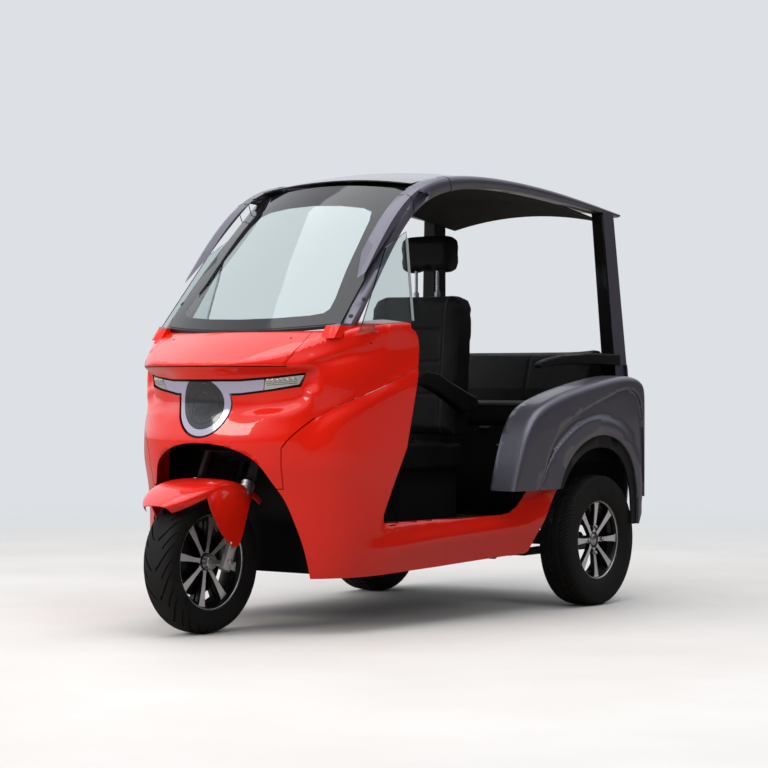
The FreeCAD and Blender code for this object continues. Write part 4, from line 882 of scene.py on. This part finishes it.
# The driver's back and headrest are one solid, cut apart between these two heights
(mesh,) = node_islands("driver_seat_back")
low, high = corners("driver_seat_back")
back_top, head_low, beyond = 1203 * MM, 1268 * MM, 1
stuffed("driver_back_pad", cut_between(mesh, low.z - beyond, back_top), "driver_seat_back", 7 * MM,
        11 * MM, 6 * MM, driver_back_shape)
stuffed("driver_headrest", cut_between(mesh, head_low, high.z + beyond), "driver_seat_back", 6 * MM,
        9 * MM, 5 * MM, stands=False)
post = mm((0.2, -20), (11, -20), (11, 7), (8, 9), (6.4, 9), (6.4, 90), (0.2, 90))
post_x, post_y, post_z = 50 * MM, 405 * MM, back_top - 8 * MM
piece_of("headrest_posts", [turned(post, (x, post_y, post_z), (0, 0, 1), 24)
                            for x in (-post_x, post_x)], fork_alloy)

for number, mesh in enumerate(node_islands("armrests")):
    stuffed("armrest_pad_%d" % number, mesh, "armrests", 5 * MM, 4 * MM, 2 * MM,
            stands=number == 0, pressure=2.0)

# %% [markdown]
# ## Lamp details
# The smoked lens has a dark gasket round it and a reflector bowl that shimmers through. The clear tips hold
# a row of small lights above a stack of fins. All of them are laid on the lamp's curved face by a ray from
# the front, so they follow it.


# %%
def on_face(node, x, z, way=1, lift=0.0):
    """The place at this x and z on the face that looks to the front, or to the rear with way -1."""
    place, normal = touch(node, (x, -1.5 * way, z), (0, way, 0))
    return None if place is None else place + normal * lift


def laid_bar(node, spots, radius, sides=8):
    """A thin round bar over (x, z) spots of a surface."""
    places = [place for place in (on_face(node, x, z) for x, z in spots) if place]
    return bar(places, circle(radius, sides), (0, 1, 0)) if len(places) > 2 else None


low, high = corners("headlamp_lens")
lens_radius = (high.x - low.x) / 2
lens_z = low.z + lens_radius
gasket, bowl = (0.80, 1.3 * MM), (0.46, 1.1 * MM)
bars_share, bar_pitch, bar_gap, top_margin = 0.78, 9 * MM, 12 * MM, 5 * MM
lens_parts = []
for share, thickness in (gasket, bowl):
    radius = lens_radius * share
    edge = math.asin(min(1.0, (high.z - top_margin - lens_z) / radius))
    angles = [between(pi - edge, 2 * pi + edge, k / 48) for k in range(49)]
    lens_parts.append(laid_bar("headlamp_lens", [
        (radius * cos(a), lens_z + radius * sin(a)) for a in angles], thickness))
for count in range(-5, 6):
    x = count * bar_pitch
    drop = math.sqrt((lens_radius * bars_share) ** 2 - x * x)
    spots = [(x, lens_z - drop + (drop - bar_gap) * k / 8) for k in range(9)]
    lens_parts.append(laid_bar("headlamp_lens", spots, 0.8 * MM, 6))
piece_of("headlamp_reflector", lens_parts, lamp_shadow, 60)

tip_light = mm((0.2, -2), (5.2, -2), (5.4, 0.6), (4.2, 1.3), (3.2, 0.6), (2.2, 1.6), (0.2, 2.0))
tip_lights, tip_fins = [], []
low, high = corners("indicators")
first_light, last_light = (high.x - 26 * MM, high.z - 13 * MM), (high.x - 101 * MM, high.z - 17.5 * MM)
fin_start, fin_end, fin_rise, fin_levels = high.x - 118 * MM, high.x - 18 * MM, 8 * MM, (0.30, 0.42, 0.54)
for side in (-1, 1):
    for count in range(6):
        x, z = [between(a, b, count / 5) for a, b in zip(first_light, last_light)]
        place = on_face("indicators", side * x, z)
        if place:
            tip_lights.append(turned(tip_light, place, mirrored(side, 0.5, -0.85, 0), 20))
    for level in fin_levels:
        z = between(low.z, high.z, level)
        spots = [(side * between(fin_start, fin_end, k / 12), between(z, z + fin_rise, k / 12))
                 for k in range(13)]
        tip_fins.append(laid_bar("indicators", spots, 0.9 * MM, 6))
piece_of("indicator_lights", tip_lights, lamp_silver)
piece_of("indicator_fins", tip_fins, lamp_shadow, 60)

# %% [markdown]
# ## Seals, seams, plugs and clear strips
# The small dark things that make a panel read as a real one: the rubber at the foot of the windscreen, the
# joints of the roof rails, the plugs in the holes that the factory leaves open, and the clear strips on the
# rear edges of the quarter glasses. A rail's joint is found by cutting its mesh with a plane and running a
# thin bar along the cut.

# %%
seal_reach, seal_z, seal_rise, screen_half = 0.372, 1.035, 0.021, 0.39
seal_line = []
for count in range(41):
    x = between(-seal_reach, seal_reach, count / 40)
    place = on_face("windscreen_seal", x, seal_z + seal_rise * (x / screen_half) ** 2)
    if place:
        seal_line.append(place + Vector((0, 1 * MM, -9 * MM)))
seal_section = mm((-2, -9), (5, -9), (7, 0), (5, 7), (-2, 8), (-5, 0))
piece_of("windscreen_foot_seal", [bar(seal_line, seal_section)], plastic)


def cut_ring(node, place, normal, radius):
    """A thin bar along the line where a plane cuts a node."""
    work = opened(frame["nodes"][node].data)
    places = [vert.co.copy() for vert in sliced(work, place, normal, bmesh.types.BMVert)]
    work.free()
    across = Vector(normal).normalized()
    centre = sum(places, Vector()) / len(places)
    first = Vector((1, 0, 0))
    second = across.cross(first)
    places.sort(key=lambda p: math.atan2((p - centre).dot(second), (p - centre).dot(first)))
    ring = [places[0]]
    for place in places[1:]:
        if (place - ring[-1]).length > 3 * MM:
            ring.append(place)
    return closed_bar(ring, across, [(b, a) for a, b in circle(radius, 6)])


# Where each rail is jointed, and which way the rail runs there
joint_planes = (((0, -0.2524, 1.50), (0, 0.93, 0.36)), ((0, -0.0266, 1.584), (0, 0.97, 0.24)))
piece_of("rail_joints", [cut_ring("roof_rail_" + side, place, way, 1.5 * MM)
                         for side in ("left", "right") for place, way in joint_planes],
         plastic, 60)

# %% [markdown]
# Each plug is laid on its panel by a ray: two on the rail's foot, one on the hood and one on the cheek.


# %%
def plug(node, start, direction, outer, inner, edge, shoulder, top, steps=20):
    """A plug where a ray meets a panel. Its radii and heights are in millimetres."""
    place, normal = touch(node, start, direction)
    profile = mm((0.2, -3), (outer, -3), (outer, edge), (inner, shoulder), (0.2, top))
    return turned(profile, place, normal, steps) if place else None


rail_starts, rail_ray = ((0.7028, -1.1622, 1.4976), (0.712, -1.101, 1.5572)), (-0.3, 0.55, -0.42)
above_hood, beside_cheek = (0.264, -0.764, 1.3), (0.8, -0.575, 0.986)
glass_foot, glass_head = (0.475, -0.351, 1.061), (0.406, -0.298, 1.383)
plugs, clear_edges = [], []
for side, name in ((-1, "right"), (1, "left")):
    for start in rail_starts:
        plugs.append(plug("roof_rail_" + name, mirrored(side, *start), mirrored(side, *rail_ray),
                          8.4, 7, 0.6, 1.4, 1.7, 24))
    plugs.append(plug("hood_panel", mirrored(side, *above_hood), (0, 0, -1), 4.5, 3.6, 0.5, 1, 1))
    plugs.append(plug("nose_panel", mirrored(side, *beside_cheek), (-side, 0, 0), 3.6, 2.8, 0.5, 1, 1))
    foot, head = mirrored(side, *glass_foot), mirrored(side, *glass_head)
    edge_line = [between(foot, head, between(0.02, 0.92, k / 8)) for k in range(9)]
    clear_edges.append(bar(edge_line, mm((-2.6, -5), (-2.6, 5), (2.6, 5), (2.6, -5)), (0, 1, 0)))
piece_of("panel_plugs", plugs, plastic)
piece_of("quarter_glass_edges", clear_edges, clear_strip)

# %% [markdown]
# ## Fork, guard and handlebar fittings
# The lower legs of the fork end in split clamps that hold the wheel's spindle, so each has a nut on the
# spindle and two pinch bolts. A ribbed dust seal sits where the sliding tube enters the leg.


# %%
def bolts(node, side, spots, radius, rise=0.6, square=True):
    """Bolt heads on a node's outer side at (y, z) spots, square to the side or to the surface."""
    heads = []
    for y, z in spots:
        place, normal = touch(node, (side * 0.4, y, z), (-side, 0, 0))
        if place:
            heads += screw(place, Vector((side, 0, 0)) if square else normal, radius, rise)
    return heads


leg_way = Vector((0, 0.4226, 0.9063))
dust_seal = [(15, -26), (21.5, -26)]
for ring in range(4):
    base = 11 * ring - 24
    dust_seal += [(22.6, base), (22.6, base + 7), (20.4, base + 8), (20.4, base + 10)]
dust_seal = mm(*dust_seal, (15, 22))
fork_parts, guard_bolts = [], []
for side in (-1, 1):
    fork_parts += bolts("fork", side, ((-0.917, 0.243),), 9 * MM, 0.5)
    fork_parts += bolts("fork", side, ((-0.905, 0.292), (-0.893, 0.318)), 4 * MM)
    guard_bolts += bolts("front_fender", side, ((-0.956, 0.313), (-0.920, 0.311)), 3.2 * MM,
                         square=False)
    seal_at = mirrored(side, 0.1135, -0.8244, 0.478) + leg_way * 20 * MM
    fork_parts.append(turned(dust_seal, seal_at, leg_way, 40))
piece_of("fork_fittings", fork_parts, fork_alloy, 30, "fork")
piece_of("guard_bolts", guard_bolts, alloy, 30, "front_fender")

bar_y, bar_z, rib_length, grip_ribs = -0.413, 0.949, 7, 14
grip = [(0.2, 0), (16, 0)]
for start in range(0, grip_ribs * rib_length, rib_length):
    grip += [(18.6, 3 + start), (18.6, 7 + start), (17.6, 8 + start), (17.6, 9.4 + start)]
grip = mm(*grip, (20, 101), (20, 106), (17, 109), (0.2, 109))
lever_clamp = mm((0.2, -12), (11, -12), (12, -9), (12, 9), (11, 12), (0.2, 12))


def blade_section(share):
    return [(a * (1.5 - 0.5 * share), b) for a, b in circle(4.2 * MM, 10)]


grips, levers = [], []
for side in (-1, 1):
    grips.append(turned(grip, mirrored(side, 0.160, bar_y, bar_z), (side, 0, 0), 32))
    blade = [mirrored(side, between(0.142, 0.250, k / 10), bar_y - 0.030 - 0.012 * sin(k / 10 * pi),
                      bar_z - 0.004) for k in range(11)]
    levers.append(bar(blade, blade_section))
    levers.append(turned(lever_clamp, mirrored(side, 0.140, bar_y - 0.026, bar_z - 0.003),
                         (0, 0, 1), 24))
piece_of("grips", grips, rubber, 30, "handlebar")
piece_of("brake_levers", levers, plastic, 40, "handlebar")

# %% [markdown]
# ## Cabin fittings
# A ribbed mat on the floor ahead of the seat, a pull on the bench's flap and the latch that keeps it shut.

# %%
mat_front, rib_pitch, rib_count = -0.50, 16 * MM, 27
ribs = []
for count in range(rib_count):
    y = mat_front + count * rib_pitch
    place, _ = touch("floor_pan", (0, y, 0.6), (0, 0, -1))
    if place:
        ribs.append(bar([(x, y, place.z) for x in (-0.30, -0.1, 0.1, 0.30)],
                        mm((-4, -1), (4, -1), (3, 2.6), (-3, 2.6))))
piece_of("floor_mat_ribs", ribs, rubber)
pull = [(0.238 + 0.092 * k / 6, 0.5369, 0.615) for k in range(7)]
latch = [(0.166 + 0.014 * k, 0.530, 0.684) for k in range(4)]
piece_of("bench_pull", [bar(pull, circle(3.2 * MM))], fork_alloy, 60)
piece_of("bench_latch", [bar(latch, mm((-6, -4), (6, -4), (6, 4), (-6, 4)))], fork_alloy)

# %% [markdown]
# ## Rear fittings
# The photograph does not show the tail, so it has what such a car has: bezels round the lamps, pressed
# rings in their lenses, a rubber surround for the number plate, and screws along the panel's edges. Each
# is laid on the panel by a ray from behind.


# %%
def laid_ring(node, spots, radius, lift=0.0, sides=10):
    """A closed round bar over (x, z) spots of a face that looks to the rear."""
    places = [on_face(node, x, z, -1, lift) for x, z in spots]
    return closed_bar(places, Vector((0, 1, 0)), circle(radius, sides)) if all(places) else None


def ring_spots(centre, radius):
    return [(centre[0] + a, centre[1] + b) for a, b in circle(radius, 56)]


lamp_x, lamps = 0.360, ((0.7425, 0.046), (0.6605, 0.024))
screw_x, screw_heights = 0.452, (0.42, 0.56, 0.72, 0.88)
bezels, lens_rings, tail_screws = [], [], []
for side in (-1, 1):
    for lamp_z, radius in lamps:
        centre = (side * lamp_x, lamp_z)
        bezels.append(laid_ring("tail_panel", ring_spots(centre, radius + 4.5 * MM), 2.6 * MM))
        lens_rings += [laid_ring("tail_lamps", ring_spots(centre, radius * share), 0.9 * MM,
                                 -0.2 * MM) for share in (0.78, 0.52, 0.26)]
    for z in screw_heights:
        place, normal = touch("tail_panel", (side * screw_x, 1.6, z), (0, -1, 0))
        if place:
            tail_screws += screw(place, normal, 3.4 * MM)
plate_low, plate_high = (-0.108, 0, 0.4765), (0.108, 0, 0.6125)
plate_line = [(point.x, point.z) for point in rounded_ring(plate_low, plate_high, 0, 12 * MM, 1, 6)]
piece_of("tail_lamp_bezels", bezels, plastic, 60)
piece_of("tail_lamp_rings", lens_rings, lamp_red, 60)
piece_of("plate_surround", [laid_ring("tail_panel", plate_line, 2.4 * MM, sides=8)], rubber,
         60)
piece_of("tail_screws", tail_screws, fork_alloy, 30)

# %% [markdown]
# ## Floor and backdrop
# The photograph was taken outdoors under a bright overcast sky, and here the car stands in a studio. The
# floor near the car is lit as it is, so it takes the car's shadow. Far away it turns into the backdrop's
# own pale tone, so no horizon line crosses the picture. What the floor throws back on the car is dimmer
# than it looks, as the yard's concrete was, or its pale light would wash out the paint of the sills.

# %%
backdrop_tone = linear("#DDE1E5")


def seen_directly(tree):
    """One for what the eye sees, straight or through glass, and zero for light and reflections."""
    path = add(tree, "LightPath").outputs
    return combined(tree, "MAXIMUM", path["Is Camera Ray"], path["Is Transmission Ray"])


def blend_into(tree, factor, first, second, final):
    """Shows the first shader where the factor is zero and the second where it is one."""
    blend = output(tree, "MixShader", 0, {"Fac": factor, 1: first, 2: second})
    tree.links.new(blend, tree.nodes[final].inputs["Surface"])


mat, tree, shader = material("pale_floor", Roughness=0.8, Specular_IOR_Level=0.2)
at = coords(tree)
seen_tone = spread(tree, noise(tree, at, 1.2, 6.0), linear("#CFCBC6"), linear("#D8D5D1"))
drive(tree, shader, Base_Color=mixed(tree, seen_directly(tree), linear("#98918A"), seen_tone))
bump(tree, shader, noise(tree, at, 60.0, 5.0), 0.002, 0.3)
reach = output(tree, "VectorMath", "Value", {0: at}, operation="LENGTH")
fade = output(tree, "MapRange", "Result", {"Value": reach, "From Min": 2.4, "From Max": 8.0},
              interpolation_type="SMOOTHSTEP")
blend_into(tree, combined(tree, "MULTIPLY", fade, seen_directly(tree)), shader.outputs[0],
           output(tree, "Emission", 0, {"Color": backdrop_tone}), "Material Output")
ground = bpy.data.meshes.new("ground")
ground.from_pydata([(-60, -60, 0), (60, -60, 0), (60, 60, 0), (-60, 60, 0)], [], [(0, 1, 2, 3)])
ground.materials.append(mat)
floor = bpy.data.objects.new("ground", ground)
bpy.context.collection.objects.link(floor)

# %% [markdown]
# ## Light
# An overcast sky is bright overhead and dim at the horizon, where trees and walls stand. That is what
# leaves the flanks of glossy paint saturated while the hood turns pale. So the world is a ramp from a
# dark horizon to a bright zenith, and leans, so the side of the door mirrors the dark part. Two soft
# lamps in front fill what faces the camera.

# %%
world = bpy.data.worlds.new("studio")
bpy.context.scene.world = world
world.use_nodes = True
sky = world.node_tree
sky_way = output(sky, "TexCoord", "Generated")
bright_way = output(sky, "VectorMath", "Value", {0: sky_way, 1: (-0.50, -0.08, 0.90)},
                    operation="DOT_PRODUCT")
sky_tone = spread(sky, bright_way, linear("#26272A"), linear("#F6F9FF"), -0.05, 0.62)
sky_lit, sky_seen = [output(sky, "Background", 0, {"Color": tone, "Strength": strength})
                     for tone, strength in ((sky_tone, 1.15), (backdrop_tone, 1.0))]
blend_into(sky, seen_directly(sky), sky_lit, sky_seen, "World Output")

# Name, place, target, width, depth, power, colour, and whether glossy surfaces mirror it
lights = (("overhead", (0.3, -0.6, 6.5), (0, 0, 0.5), 7.0, 7.0, 230, "#FFFFFF", True),
          ("front", (-2.5, -8.5, 4.2), (0, -0.6, 0.7), 4.0, 2.6, 330, "#FFFAF4", True),
          ("side", (8.5, -3.0, 4.6), (0, 0.3, 0.6), 4.0, 2.6, 190, "#FAFBFF", False))
for name, place, target, width, depth, power, colour, mirrored in lights:
    light = bpy.data.lights.new(name, "AREA")
    light.shape, light.size, light.size_y = "RECTANGLE", width, depth
    light.energy, light.color = power, linear(colour)[:3]
    lamp = bpy.data.objects.new(name, light)
    lamp.location, lamp.visible_glossy = place, mirrored
    lamp.rotation_euler = (Vector(target) - Vector(place)).to_track_quat("-Z", "Y").to_euler()
    bpy.context.collection.objects.link(lamp)

# %% [markdown]
# ## Camera
# The camera stands where the photographer stood. Its distance, height and lens were worked out from the
# wheels, the symmetric points of the body and the ground.

# %%
azimuth, pitch, roll = radians(36.294), radians(-0.0697), radians(0.149)
lens_pixels, frame_pixels, sensor = 2260.32, 768, 36.0
forward = Vector((-sin(azimuth) * cos(pitch), cos(azimuth) * cos(pitch),
                  -sin(pitch)))
right = Vector((cos(azimuth), sin(azimuth), 0))
up = right.cross(forward)
turned_right = right * cos(roll) + up * sin(roll)
turned_up = turned_right.cross(forward)
camera_data = bpy.data.cameras.new("camera")
camera_data.sensor_width = sensor
camera_data.sensor_fit = "HORIZONTAL"
camera_data.lens = lens_pixels / frame_pixels * sensor
camera_data.clip_end = 200
camera = bpy.data.objects.new("camera", camera_data)
camera.matrix_world = Matrix.Translation((5.0403, -6.7363, 0.8375)) @ Matrix(
    (turned_right, turned_up, -forward)).transposed().to_4x4()
bpy.context.collection.objects.link(camera)
bpy.context.scene.camera = camera
bpy.context.scene.view_settings.view_transform = "Standard"

# %%
import json
